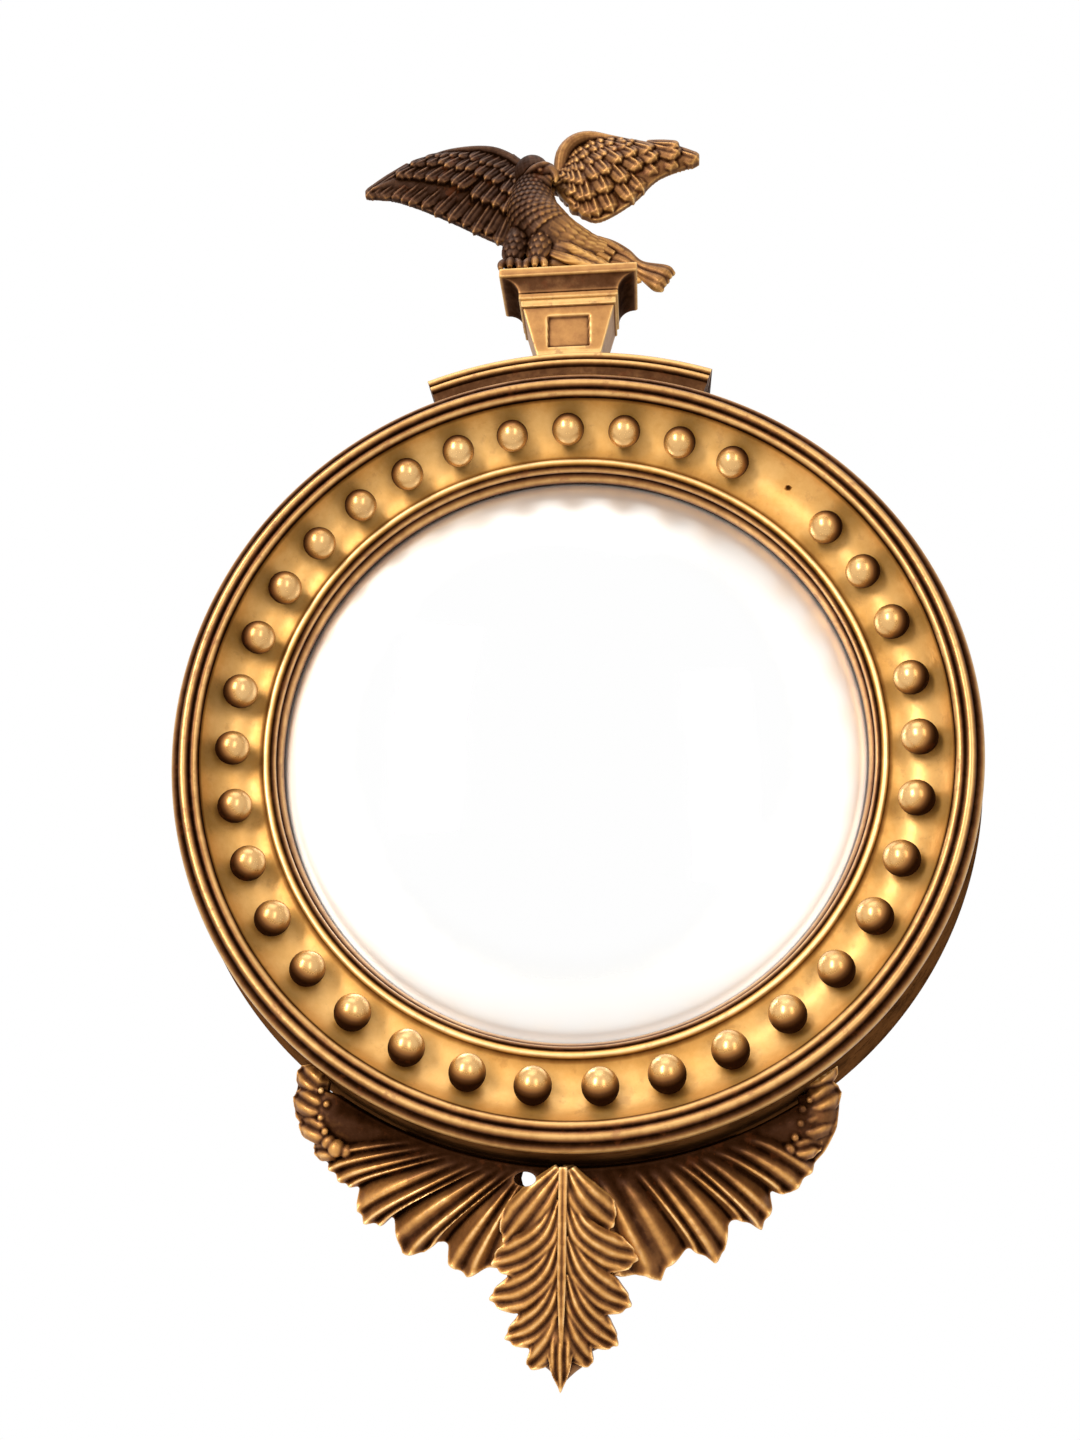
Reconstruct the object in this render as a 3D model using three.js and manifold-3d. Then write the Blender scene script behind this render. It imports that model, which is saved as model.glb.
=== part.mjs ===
// A carved and gilded convex wall mirror: a turned ring set with balls, an eagle on a plinth
// at the top and an apron of three acanthus leaves below.
// Millimetres, +Z up. The wall is the plane y = 0 and the mirror looks along -Y.
// "Forward" is the distance from the wall towards the room, so y = -forward.
import * as THREE from "three";
import { mergeVertices } from "three/addons/utils/BufferGeometryUtils.js";
import Module from "manifold-3d";

const wasm = await Module();
wasm.setup();

// ---------------------------------------------------------------- driving dimensions

const FIT = 0.3; // running gap left between pieces that touch
const SHORTEST_EDGE = 0.03; // edges below this are closed up after a cut
const PAST = 5; // how far a cutter runs past what it cuts

// balls in the cove
const BALL_PLACES = 35;
const EMPTY_PLACE = 4; // this place has lost its ball and shows its pin hole
const BALL_RADIUS = 13.5;
const BALL_SIDES = 8;
const BALL_RINGS = 5;
const PIN_RADIUS = 1.5;
const PIN_LENGTH = 6.5;
const PIN_SIDES = 6;
const PIN_LEAN = 14; // degrees that each pin leans outwards from the depth of the cove

// turned ring, from the sight edge outwards
const RING_SIDES = 2 * BALL_PLACES; // a flat at each ball and one between
const HIDDEN_SIDES = BALL_PLACES; // fewer flats where nothing shows
const SIGHT_RADIUS = 231;
const SLIP_WIDE_REED = [3.2, 12.5]; // outward and forward run of the broad inner reed
const SLIP_NARROW_REED = [2.1, 7.5];
const SLIP_REED_RISE = [1.6, 1.8];
const SLIP_FLANGE = 12; // width of the slip's back face
const COVE_LEDGE = 11.5; // from the sight edge out to where the cove starts
const COVE_WIDTH = 40.8;
const COVE_INNER_FORWARD = 36;
const COVE_CLIMB = 28; // how much further forward the cove ends than it starts
const COVE_SAG = 11; // how far the cove hollows behind its chord
const COVE_BACK = 28;
const COVE_STEPS = 8;
const BEAD_RADIUS = 2.9;
const REED_GROOVES = [
  [5.7, 69.5], // outward from the rim's inner wall, and forward from the wall plane
  [13.9, 70.5],
  [19.4, 62],
];
const REED_RISE = [2.6, 4.2, 3.4];
const RIM_SHOULDER = 65; // forward level where the first reed starts

// carcass and back
const CARCASS_BACK_WIDTH = 36.4; // wood outside the cove at the back
const CARCASS_FRONT_WIDTH = 20.7; // and at the front, under the rim
const CARCASS_FRONT = 57;
const BACKBOARD_THICK = 6;
const BACKBOARD_LAP = 18.7; // how far the backboard laps onto the carcass
const PACKING_THICK = 5.6;
const PACKING_WIDTH = 16;
const GLASS_THICK = 3.5;
const GLASS_DOME = 36; // rise of the convex plate above its flat edge
const GLASS_SEAT = 1; // how far inside the sight edge the dome starts
const GLASS_SHY = 1.5; // how much smaller the plate is than its rebate
const GLASS_STEPS = 5;
const SCREW_COUNT = 4;

// screws
const SCREW_SIDES = 8;
const BOARD_SCREW = { shank: 2, head: 4.2, headDepth: 2.4, length: 18 };
const HANGER_SCREW = { shank: 1.5, head: 2.6, headDepth: 1.4, length: 9 };

// cresting above the ring
const CREST_HALF_ANGLE = 21;
const CREST_STEPS = 16;
const CREST_BACK = 12;
const CREST_FRONT = 48; // face of the band behind the two reeds
const CREST_BAND = 5; // height of the recessed band under the reeds
const CREST_REED = 6.6; // height of one reed
const CREST_REED_RISE = 4;

// plinth
const PLINTH_BACK = 8;
const PLINTH_BASE = { half: 27, front: 46 };
const PLINTH_TOP = { half: 39.5, front: 53 };
const PLINTH_TAPER = 44.5;
const NECK = { height: 7, out: 1.8 };
const PANEL = { half: 18, bottom: 8, top: 36, depth: 1.6 };
const CAP_LIP = { out: 3.6, height: 5 };
const CAP_OUT = 20.5; // how far the top slab oversails the taper
const CAP_FORWARD = 9;
const CAP_COVE = 15;
const CAP_SLAB = 8.5;
const CAP_FILLET = 1.5; // square step between the hollow and the slab
const CAP_STEPS = 4;

// eagle: the path of the trunk from tail root to crown as x, forward, height above the plinth, radius
const TRUNK = [
  [34, 24, 42, 7],
  [20, 25, 44, 12],
  [4, 28, 46, 17],
  [-14, 32, 52, 22],
  [-27, 36, 64, 24.5],
  [-33, 38, 80, 22.5],
  [-33.5, 40, 96, 17.5],
  [-33, 41, 108, 13.5],
  [-33, 42, 121, 14.5],
  [-33, 42, 132, 11],
  [-33, 42, 136.5, 5],
];
const TRUNK_SIDES = 10;
// beak: path from the middle of the head as x, forward, height, radius
const BEAK = [
  [0, 0, 1, 6.5],
  [11.5, 4, 1, 4.7],
  [18, 6, -1.5, 3.1],
  [21, 7, -9, 0.9],
];
const LEG_X = [-51, -29];
const LEG_FORWARD = 45;
// leg: path from hip to foot as x and forward of the foot, height above the plinth, radius
const LEG = [
  [6, -8, 58, 10],
  [2, -3, 36, 10],
  [0, 0, 20, 6],
  [0, 2, 8, 5],
  [0, 2, 0, 6.5],
];
// toe: distance along it, height of its middle, radius
const TOE = [
  [3, 3, 3.4],
  [9, 5, 3.4],
  [15, 1.7, 1.5],
];
const TOE_TURNS = [-32, 0, 32];

// wings: leading edge and trailing edge from tip to root, as x, forward, height above the plinth
const LEFT_WING = {
  lead: [[-187, 44, 105], [-153, 41, 133], [-115, 36, 155], [-73, 30, 161], [-46, 27, 145], [-33, 26, 120]],
  trail: [[-189, 44, 101], [-165, 42, 99], [-139, 40, 89], [-106, 36, 73], [-74, 31, 57], [-40, 26, 44]],
  feathers: 9,
};
const RIGHT_WING = {
  lead: [
    [122, 46, 126], [94, 43, 140], [55, 38, 157], [17, 32, 172], [1, 29, 164], [-8, 27, 148], [-24, 25, 130],
  ],
  trail: [
    [119, 46, 122], [82, 42, 108], [58, 38, 84], [27, 32, 70], [9, 29, 81], [-2, 27, 102], [-24, 25, 112],
  ],
  feathers: 8,
};
const WING_THICK = 7;
const WING_CROWN = 6;
const FEATHER_DEPTH = 5;
const FEATHER_RISE = 1.6;
const WING_STEPS = 18;

// tail: two edges from root to tip
const TAIL = {
  upper: [[4, 25, 58], [32, 26, 54], [50, 27, 41], [67, 28, 26], [92, 30, 16]],
  lower: [[0, 24, 44], [27, 25, 34], [49, 26, 23], [64, 27, 10], [81, 30, -5]],
};
const TAIL_THICK = 6;
const TAIL_CROWN = 5;
const TAIL_STEPS = 8;

// apron: a curved block behind, two side leaves and a pendant leaf
const APRON_BACK = 6;
const APRON_THICK = 18;
const APRON_DEPTH = 34;
const APRON_HALF_ANGLE = 22;
// outline of each side leaf: degrees round from the bottom of the ring, and reach past its edge
const LEFT_LEAF = [
  [5.6, 56], [7.8, 61], [9.9, 69], [12.1, 64], [12.5, 54], [13.6, 52], [14.7, 62], [16.8, 67],
  [17.8, 57], [19.2, 48], [19.8, 55], [21.5, 57], [22.7, 53], [23.9, 40], [25.5, 42], [27.6, 37],
  [29.7, 32], [31.7, 25], [34.2, 23], [35.4, 16], [36.7, 5],
];
const RIGHT_LEAF = [
  [2, 56], [6.2, 63], [7.9, 63], [9.3, 69], [10, 61], [11.7, 56], [12.8, 52], [14.8, 64],
  [16.1, 59], [17.2, 45], [18.3, 43], [20.3, 53], [22.2, 45], [22.8, 35], [24.6, 41], [27, 36],
  [30.1, 29], [32.7, 20], [34.5, 10], [35.9, -2],
];
const SIDE_LEAF = { crest: 58, edge: 32, root: 44, flute: 3, flutePitch: 3.4, tuck: 6, undercut: 2 };
// outline of the pendant leaf: distance below the ring's edge, and its left and right edge
const CENTRE_LEAF = [
  [-8, -7, 8], [-2, -9, 9], [12, -33, 24], [25, -41, 32], [40, -48, 42], [51, -49, 48],
  [58, -46, 39], [61.5, -34.5, 35], [64.5, -46, 38], [71, -49, 43], [78, -47, 43],
  [82.5, -30.5, 27], [88, -34, 30], [95, -40, 33.5], [100, -34, 33], [107, -23, 17],
  [112, -22.5, 18], [117, -14, 10], [122, -11, 4], [129, -4.5, -1.5],
];
const PENDANT = { crest: 68, edge: 44, tip: 56, flute: 3 };
const SIGHT_HOLE = { x: -27, drop: 3, radius: 8 }; // daylight between leaf, pendant and ring

// hanger let into the back of the carcass
const POCKET = { half: 20, fromEdge: 14, high: 40, depth: 10 };
const HANGER_PLATE = { half: 16, high: 24, thick: 2, clear: 2 };
const HANGER_PIVOT = { aboveFoot: 5, forward: 5.2 };
const HANGER_RING = { wire: 1.8, half: 11, drop: 14, steps: 10, sides: 6 };
const KNUCKLE_HALF = 4;
const KNUCKLE_WALL = 1.4;
const HANGER_SCREW_AT = { x: 11, belowTop: 5.5 };

// finishes
const GILT = { color: 0xc9973a, roughness: 0.38, metalness: 0.85 };
const WORN_GILT = { color: 0xa57936, roughness: 0.5, metalness: 0.7 };
const DARK_GILT = { color: 0x5f4424, roughness: 0.55, metalness: 0.5 };
const OCHRE_PINE = { color: 0x8a6a3c, roughness: 0.75, metalness: 0 };
const BARE_PINE = { color: 0xb08a5a, roughness: 0.85, metalness: 0 };
const SILVERED_GLASS = { color: 0xe6ebec, roughness: 0.03, metalness: 1 };
const IRON = { color: 0x4c4a48, roughness: 0.5, metalness: 0.9 };
const BRASS = { color: 0xb08d4a, roughness: 0.35, metalness: 1 };

// ---------------------------------------------------------------- worked-out sizes

const slipBack = BACKBOARD_THICK + PACKING_THICK + GLASS_THICK + 3 * FIT;
const coveInner = SIGHT_RADIUS + COVE_LEDGE;
const coveOuter = coveInner + COVE_WIDTH;
const coveInnerWall = coveInner - 2 * BEAD_RADIUS;
const slipOuter = SIGHT_RADIUS + SLIP_FLANGE;
const carcassInner = slipOuter + FIT;
const rimInner = coveOuter + FIT;
const backRebate = carcassInner + BACKBOARD_LAP;
const carcassBack = rimInner + CARCASS_BACK_WIDTH;
const splay = (CARCASS_BACK_WIDTH - CARCASS_FRONT_WIDTH) / CARCASS_FRONT;
const sideRadius = (forward) => carcassBack - splay * forward;
const crestBottom = sideRadius(0) + FIT;
const crestTop = crestBottom + CREST_BAND + 2 * CREST_REED;
const plinthBottom = crestTop + FIT;
const taperTop = plinthBottom + PLINTH_TAPER;
const capBottom = taperTop + NECK.height + FIT;
const capTop = capBottom + CAP_LIP.height + CAP_COVE + CAP_SLAB;
const perch = capTop + FIT; // height on which the eagle stands
const capHalf = PLINTH_TOP.half + CAP_OUT;
const capFront = PLINTH_TOP.front + CAP_FORWARD;
const pocketTop = carcassBack - POCKET.fromEdge;
const plateTop = pocketTop - HANGER_PLATE.clear;
const plateFoot = plateTop - HANGER_PLATE.high;
const pivotHeight = plateFoot + HANGER_PIVOT.aboveFoot;

const radians = THREE.MathUtils.degToRad;

// ---------------------------------------------------------------- solids

// A geometry whose faces point out, whichever way its outline was listed.
function facingOut(geometry) {
  const flat = geometry.index ? geometry.toNonIndexed() : geometry;
  const bare = new THREE.BufferGeometry().setAttribute("position", flat.getAttribute("position"));
  const merged = mergeVertices(bare, 1e-4);
  const at = merged.getAttribute("position");
  const index = merged.index.array;
  const [a, b, c] = [new THREE.Vector3(), new THREE.Vector3(), new THREE.Vector3()];
  let volume = 0;
  for (let i = 0; i < index.length; i += 3) {
    a.fromBufferAttribute(at, index[i]);
    b.fromBufferAttribute(at, index[i + 1]);
    c.fromBufferAttribute(at, index[i + 2]);
    volume += a.dot(b.cross(c));
  }
  if (volume < 0) {
    for (let i = 0; i < index.length; i += 3) {
      [index[i], index[i + 1]] = [index[i + 1], index[i]];
    }
  }
  return merged;
}

// A closed geometry as a solid that can be joined and cut.
function solid(geometry) {
  const merged = facingOut(geometry);
  return new wasm.Manifold(
    new wasm.Mesh({
      numProp: 3,
      vertProperties: new Float32Array(merged.getAttribute("position").array),
      triVerts: new Uint32Array(merged.index.array),
    }),
  );
}

// A joined or cut solid as a geometry for a mesh, its shortest edges closed up.
function surface(made) {
  const mesh = made.getMesh();
  const geometry = new THREE.BufferGeometry()
    .setAttribute("position", new THREE.BufferAttribute(mesh.vertProperties, 3))
    .setIndex(new THREE.BufferAttribute(mesh.triVerts, 1));
  const merged = mergeVertices(geometry, SHORTEST_EDGE);
  const index = merged.index.array;
  const kept = [];
  for (let i = 0; i < index.length; i += 3) {
    const [a, b, c] = index.slice(i, i + 3);
    if (a !== b && b !== c && c !== a) kept.push(a, b, c);
  }
  return merged.setIndex(kept);
}

// Turns a closed outline of [radius, forward] pairs round the ring's axis.
function turned(outline, sides = RING_SIDES) {
  const points = outline.map(([radius, forward]) => new THREE.Vector2(radius, -forward));
  const onAxis = outline[0][0] === 0;
  if (!onAxis) points.push(points[0].clone());
  const start = (Math.PI / sides) * (sides === RING_SIDES ? 1 : 0);
  return facingOut(new THREE.LatheGeometry(points, sides, start));
}

// Turns an outline of [radius, height] pairs, on the axis at both ends, round +Y.
function spindle(outline, sides) {
  const points = outline.map(([radius, height]) => new THREE.Vector2(radius, height));
  return new THREE.LatheGeometry(points, sides);
}

// Skins a run of closed rings of equal count and closes both ends with a fan.
function loft(rings) {
  const count = rings[0].length;
  const centre = (ring) =>
    ring.reduce((sum, point) => sum.add(point), new THREE.Vector3()).divideScalar(ring.length);
  const vertices = rings.flat().concat([centre(rings[0]), centre(rings.at(-1))]);
  const faces = [];
  for (let i = 0; i + 1 < rings.length; i++) {
    for (let j = 0; j < count; j++) {
      const a = i * count + j;
      const b = i * count + ((j + 1) % count);
      faces.push(a, b, a + count, b, b + count, a + count);
    }
  }
  const last = (rings.length - 1) * count;
  const first = rings.length * count;
  for (let j = 0; j < count; j++) {
    const next = (j + 1) % count;
    faces.push(first, next, j);
    faces.push(first + 1, last + j, last + next);
  }
  const positions = new Float32Array(vertices.flatMap((point) => point.toArray()));
  return facingOut(
    new THREE.BufferGeometry()
      .setAttribute("position", new THREE.BufferAttribute(positions, 3))
      .setIndex(faces),
  );
}

// Points of a round moulding that bulges by rise over the line between two [radius, forward] points.
function bulge([r0, f0], [r1, f1], rise, steps) {
  const length = Math.hypot(r1 - r0, f1 - f0);
  const [outR, outF] = [-(f1 - f0) / length, (r1 - r0) / length];
  return Array.from({ length: steps - 1 }, (_, k) => {
    const t = (k + 1) / steps;
    const lift = rise * Math.sin(Math.PI * t);
    return [r0 + (r1 - r0) * t + outR * lift, f0 + (f1 - f0) * t + outF * lift];
  });
}

const meshes = [];

function add(name, geometry, finish) {
  const mesh = new THREE.Mesh(geometry, new THREE.MeshStandardMaterial(finish));
  mesh.name = name;
  meshes.push(mesh);
  return mesh;
}

// ---------------------------------------------------------------- the cove and its balls

// The hollow's arc in the [radius, forward] plane: its centre, radius and half angle.
function coveArc() {
  const run = COVE_WIDTH;
  const climb = COVE_CLIMB;
  const chord = Math.hypot(run, climb);
  const radius = chord ** 2 / (8 * COVE_SAG) + COVE_SAG / 2;
  const normal = [-climb / chord, run / chord]; // out of the hollow, towards the room
  const middle = [coveInner + run / 2, COVE_INNER_FORWARD + climb / 2];
  const centre = middle.map((value, k) => value + normal[k] * (radius - COVE_SAG));
  return { radius, normal, centre, half: Math.asin(chord / 2 / radius) };
}

const cove = coveArc();

// A point of the hollow, at an angle from its deepest line towards the outside.
function coveAt(angle, radius = cove.radius) {
  const inward = Math.atan2(-cove.normal[1], -cove.normal[0]);
  return [
    cove.centre[0] + radius * Math.cos(inward + angle),
    cove.centre[1] + radius * Math.sin(inward + angle),
  ];
}

const ballCentre = coveAt(0, cove.radius - BALL_RADIUS - FIT);
const pinAngle = Math.atan2(-cove.normal[1], -cove.normal[0]) + radians(PIN_LEAN);

// Places a spindle drawn along +Y so that it starts at the ball's centre and runs into the cove.
function intoCove(geometry, place) {
  const turn = (2 * Math.PI * place) / BALL_PLACES;
  return geometry
    .rotateX(Math.PI / 2 + pinAngle)
    .translate(0, -ballCentre[1], ballCentre[0])
    .rotateY(turn);
}

function ball() {
  const outline = [[0, -BALL_RADIUS]];
  const shoulder = Math.asin(PIN_RADIUS / BALL_RADIUS);
  for (let k = 1; k <= BALL_RINGS; k++) {
    const angle = (k / BALL_RINGS) * (Math.PI - shoulder);
    outline.push([BALL_RADIUS * Math.sin(angle), -BALL_RADIUS * Math.cos(angle)]);
  }
  outline.push([PIN_RADIUS, BALL_RADIUS + PIN_LENGTH], [0, BALL_RADIUS + PIN_LENGTH]);
  return spindle(outline, BALL_SIDES);
}

function pinHole() {
  const radius = PIN_RADIUS + FIT;
  const end = BALL_RADIUS + PIN_LENGTH + FIT;
  return spindle([[0, 0], [radius, 0], [radius, end], [0, end]], PIN_SIDES);
}

function coveMoulding() {
  const outline = [[coveInnerWall, COVE_BACK], [coveInnerWall, COVE_INNER_FORWARD]];
  const [ledge, lip] = [[coveInnerWall, COVE_INNER_FORWARD], [coveInner, COVE_INNER_FORWARD]];
  outline.push(...bulge(ledge, lip, BEAD_RADIUS, 4));
  for (let k = 0; k <= COVE_STEPS; k++) outline.push(coveAt(cove.half * ((2 * k) / COVE_STEPS - 1)));
  outline.push([coveOuter, COVE_BACK]);
  let ring = solid(turned(outline));
  for (let place = 0; place < BALL_PLACES; place++) {
    ring = ring.subtract(solid(intoCove(pinHole(), place)));
  }
  return surface(ring);
}

// ---------------------------------------------------------------- the other turned rings

function reededRim() {
  const grooves = REED_GROOVES.map(([out, forward]) => [rimInner + out, forward]);
  const starts = [[rimInner, RIM_SHOULDER], ...grooves];
  const outline = [[rimInner, CARCASS_FRONT + FIT]];
  grooves.forEach((end, k) => {
    outline.push(starts[k], ...bulge(starts[k], end, REED_RISE[k], 3));
  });
  outline.push(grooves.at(-1), [grooves.at(-1)[0], CARCASS_FRONT + FIT]);
  return turned(outline);
}

function reededSlip() {
  const sight = [SIGHT_RADIUS, slipBack];
  const groove = [sight[0] + SLIP_WIDE_REED[0], sight[1] + SLIP_WIDE_REED[1]];
  const lip = [groove[0] + SLIP_NARROW_REED[0], groove[1] + SLIP_NARROW_REED[1]];
  return turned([
    sight,
    ...bulge(sight, groove, SLIP_REED_RISE[0], 3),
    groove,
    ...bulge(groove, lip, SLIP_REED_RISE[1], 3),
    [coveInnerWall - FIT, lip[1]],
    [coveInnerWall - FIT, COVE_BACK - FIT],
    [slipOuter, COVE_BACK - FIT],
    [slipOuter, slipBack],
  ]);
}

function mirrorGlass() {
  const rim = SIGHT_RADIUS - GLASS_SEAT;
  const front = slipBack - FIT;
  const back = front - GLASS_THICK;
  const outer = slipOuter - GLASS_SHY;
  const radius = (rim ** 2 + GLASS_DOME ** 2) / (2 * GLASS_DOME);
  const half = Math.asin(rim / radius);
  const arc = (size, k) => {
    const angle = (half * k) / GLASS_STEPS;
    return [size * Math.sin(angle), front + GLASS_DOME - radius + size * Math.cos(angle)];
  };
  const outside = Array.from({ length: GLASS_STEPS + 1 }, (_, k) => arc(radius, k));
  const inside = Array.from({ length: GLASS_STEPS + 1 }, (_, k) => arc(radius - GLASS_THICK, k));
  return turned([...outside, [outer, front], [outer, back], ...inside.reverse()], HIDDEN_SIDES);
}

function packingRing() {
  const back = BACKBOARD_THICK + FIT;
  const outer = slipOuter - FIT;
  return turned(
    [
      [outer - PACKING_WIDTH, back],
      [outer, back],
      [outer, back + PACKING_THICK],
      [outer - PACKING_WIDTH, back + PACKING_THICK],
    ],
    HIDDEN_SIDES,
  );
}

// A countersunk screw along +Y with its head at the origin, or the hole that it needs.
function screw({ shank, head, headDepth, length }, gap = 0) {
  const outline = [
    [0, 0],
    [head, 0],
    [shank, headDepth],
    [shank, length],
    [0, length],
  ];
  const grown = outline.map(([radius, along]) => [radius && radius + gap, along ? along + gap : -gap]);
  return spindle(grown, SCREW_SIDES);
}

// Puts a screw drawn along +Y into the back at x, z, its head at a forward level.
const intoBack = (geometry, x, z, forward) => geometry.rotateX(Math.PI).translate(x, -forward, z);

const boardScrewRadius = (carcassInner + backRebate) / 2;
const boardScrewPlaces = Array.from({ length: SCREW_COUNT }, (_, k) => {
  const angle = (2 * Math.PI * (k + 0.5)) / SCREW_COUNT;
  return [boardScrewRadius * Math.sin(angle), boardScrewRadius * Math.cos(angle)];
});

function drilled(body, places, size, forward) {
  return places.reduce(
    (left, [x, z]) => left.subtract(solid(intoBack(screw(size, FIT), x, z, forward))),
    body,
  );
}

function backboard() {
  const radius = backRebate - FIT;
  const disc = solid(turned([[0, 0], [radius, 0], [radius, BACKBOARD_THICK], [0, BACKBOARD_THICK]]));
  return surface(drilled(disc, boardScrewPlaces, BOARD_SCREW, 0));
}

// ---------------------------------------------------------------- carcass and hanger

const pocketFloor = POCKET.depth;
const plateBack = pocketFloor - FIT - HANGER_PLATE.thick;
const hangerScrewHeight = plateTop - HANGER_SCREW_AT.belowTop;
const hangerScrewPlaces = [-1, 1].map((side) => [side * HANGER_SCREW_AT.x, hangerScrewHeight]);

function block(x0, x1, forward0, forward1, z0, z1) {
  return new THREE.BoxGeometry(x1 - x0, forward1 - forward0, z1 - z0).translate(
    (x0 + x1) / 2,
    -(forward0 + forward1) / 2,
    (z0 + z1) / 2,
  );
}

function carcassRing() {
  const ring = solid(
    turned([
      [carcassBack, 0],
      [sideRadius(CARCASS_FRONT), CARCASS_FRONT],
      [rimInner, CARCASS_FRONT],
      [rimInner, COVE_BACK - FIT],
      [carcassInner, COVE_BACK - FIT],
      [carcassInner, BACKBOARD_THICK + FIT],
      [backRebate, BACKBOARD_THICK + FIT],
      [backRebate, 0],
    ]),
  );
  const pocketFoot = pocketTop - POCKET.high;
  const pocket = solid(block(-POCKET.half, POCKET.half, -PAST, pocketFloor, pocketFoot, pocketTop));
  const cut = drilled(ring.subtract(pocket), boardScrewPlaces, BOARD_SCREW, 0);
  return surface(drilled(cut, hangerScrewPlaces, HANGER_SCREW, plateBack));
}

function hangerPlate() {
  const plate = solid(
    block(
      -HANGER_PLATE.half,
      HANGER_PLATE.half,
      plateBack,
      plateBack + HANGER_PLATE.thick,
      plateFoot,
      plateTop,
    ),
  );
  const hole = HANGER_RING.wire + FIT;
  const roller = (radius, half) =>
    solid(
      new THREE.CylinderGeometry(radius, radius, 2 * half, 12)
        .rotateZ(Math.PI / 2)
        .translate(0, -HANGER_PIVOT.forward, pivotHeight),
    );
  const knuckle = roller(hole + KNUCKLE_WALL, KNUCKLE_HALF);
  const bore = roller(hole, HANGER_PLATE.half);
  return surface(drilled(plate.add(knuckle).subtract(bore), hangerScrewPlaces, HANGER_SCREW, plateBack));
}

// A D of round wire: its straight bar turns in the knuckle and its bow hangs below.
function hangerRing() {
  const { wire, half, drop, steps, sides } = HANGER_RING;
  const path = Array.from({ length: steps + 1 }, (_, k) => {
    const angle = (Math.PI * k) / steps;
    return new THREE.Vector3(half * Math.cos(angle), 0, -drop * Math.sin(angle));
  });
  const across = new THREE.Vector3(0, 1, 0);
  const rings = path.map((point, k) => {
    const arrives = point.clone().sub(path[(k + path.length - 1) % path.length]).normalize();
    const leaves = path[(k + 1) % path.length].clone().sub(point).normalize();
    const along = arrives.clone().add(leaves).normalize();
    const mitre = 1 / along.dot(leaves);
    const outward = along.clone().cross(across).multiplyScalar(mitre);
    return Array.from({ length: sides }, (_, j) => {
      const angle = (2 * Math.PI * (j + 0.5)) / sides;
      return point
        .clone()
        .addScaledVector(outward, wire * Math.cos(angle))
        .addScaledVector(across, wire * Math.sin(angle));
    });
  });
  return { rings, count: sides };
}

// Skins a run of rings whose last joins its first.
function closedLoop({ rings, count }) {
  const faces = [];
  for (let i = 0; i < rings.length; i++) {
    const here = i * count;
    const there = ((i + 1) % rings.length) * count;
    for (let j = 0; j < count; j++) {
      const next = (j + 1) % count;
      faces.push(here + j, here + next, there + j, here + next, there + next, there + j);
    }
  }
  const positions = new Float32Array(rings.flat().flatMap((point) => point.toArray()));
  return facingOut(
    new THREE.BufferGeometry()
      .setAttribute("position", new THREE.BufferAttribute(positions, 3))
      .setIndex(faces),
  );
}

// ---------------------------------------------------------------- cresting and plinth

// The solid space that the splayed ring takes, with the fit around it.
const ringSpace = () =>
  solid(
    turned([
      [0, -PAST],
      [sideRadius(-PAST) + FIT, -PAST],
      [sideRadius(2 * CARCASS_FRONT) + FIT, 2 * CARCASS_FRONT],
      [0, 2 * CARCASS_FRONT],
    ]),
  );

function crestArch() {
  const bandTop = crestBottom + CREST_BAND;
  const middle = bandTop + CREST_REED;
  const section = [
    [sideRadius(CREST_BACK) + FIT, CREST_BACK],
    [sideRadius(CREST_FRONT) + FIT, CREST_FRONT],
    [bandTop, CREST_FRONT],
    ...bulge([middle, CREST_FRONT], [bandTop, CREST_FRONT], CREST_REED_RISE, 3).reverse(),
    [middle, CREST_FRONT],
    ...bulge([crestTop, CREST_FRONT], [middle, CREST_FRONT], CREST_REED_RISE, 3).reverse(),
    [crestTop, CREST_FRONT],
    [crestTop, CREST_BACK],
  ];
  const rings = Array.from({ length: CREST_STEPS + 1 }, (_, k) => {
    const angle = radians(CREST_HALF_ANGLE * ((2 * k) / CREST_STEPS - 1));
    return section.map(
      ([radius, forward]) => new THREE.Vector3(radius * Math.sin(angle), -forward, radius * Math.cos(angle)),
    );
  });
  return surface(solid(loft(rings)).subtract(ringSpace()));
}

// A rectangular ring at a height, standing on the plinth's back plane.
function rectangle(half, front, height) {
  return [
    new THREE.Vector3(-half, -PLINTH_BACK, height),
    new THREE.Vector3(half, -PLINTH_BACK, height),
    new THREE.Vector3(half, -front, height),
    new THREE.Vector3(-half, -front, height),
  ];
}

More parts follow.
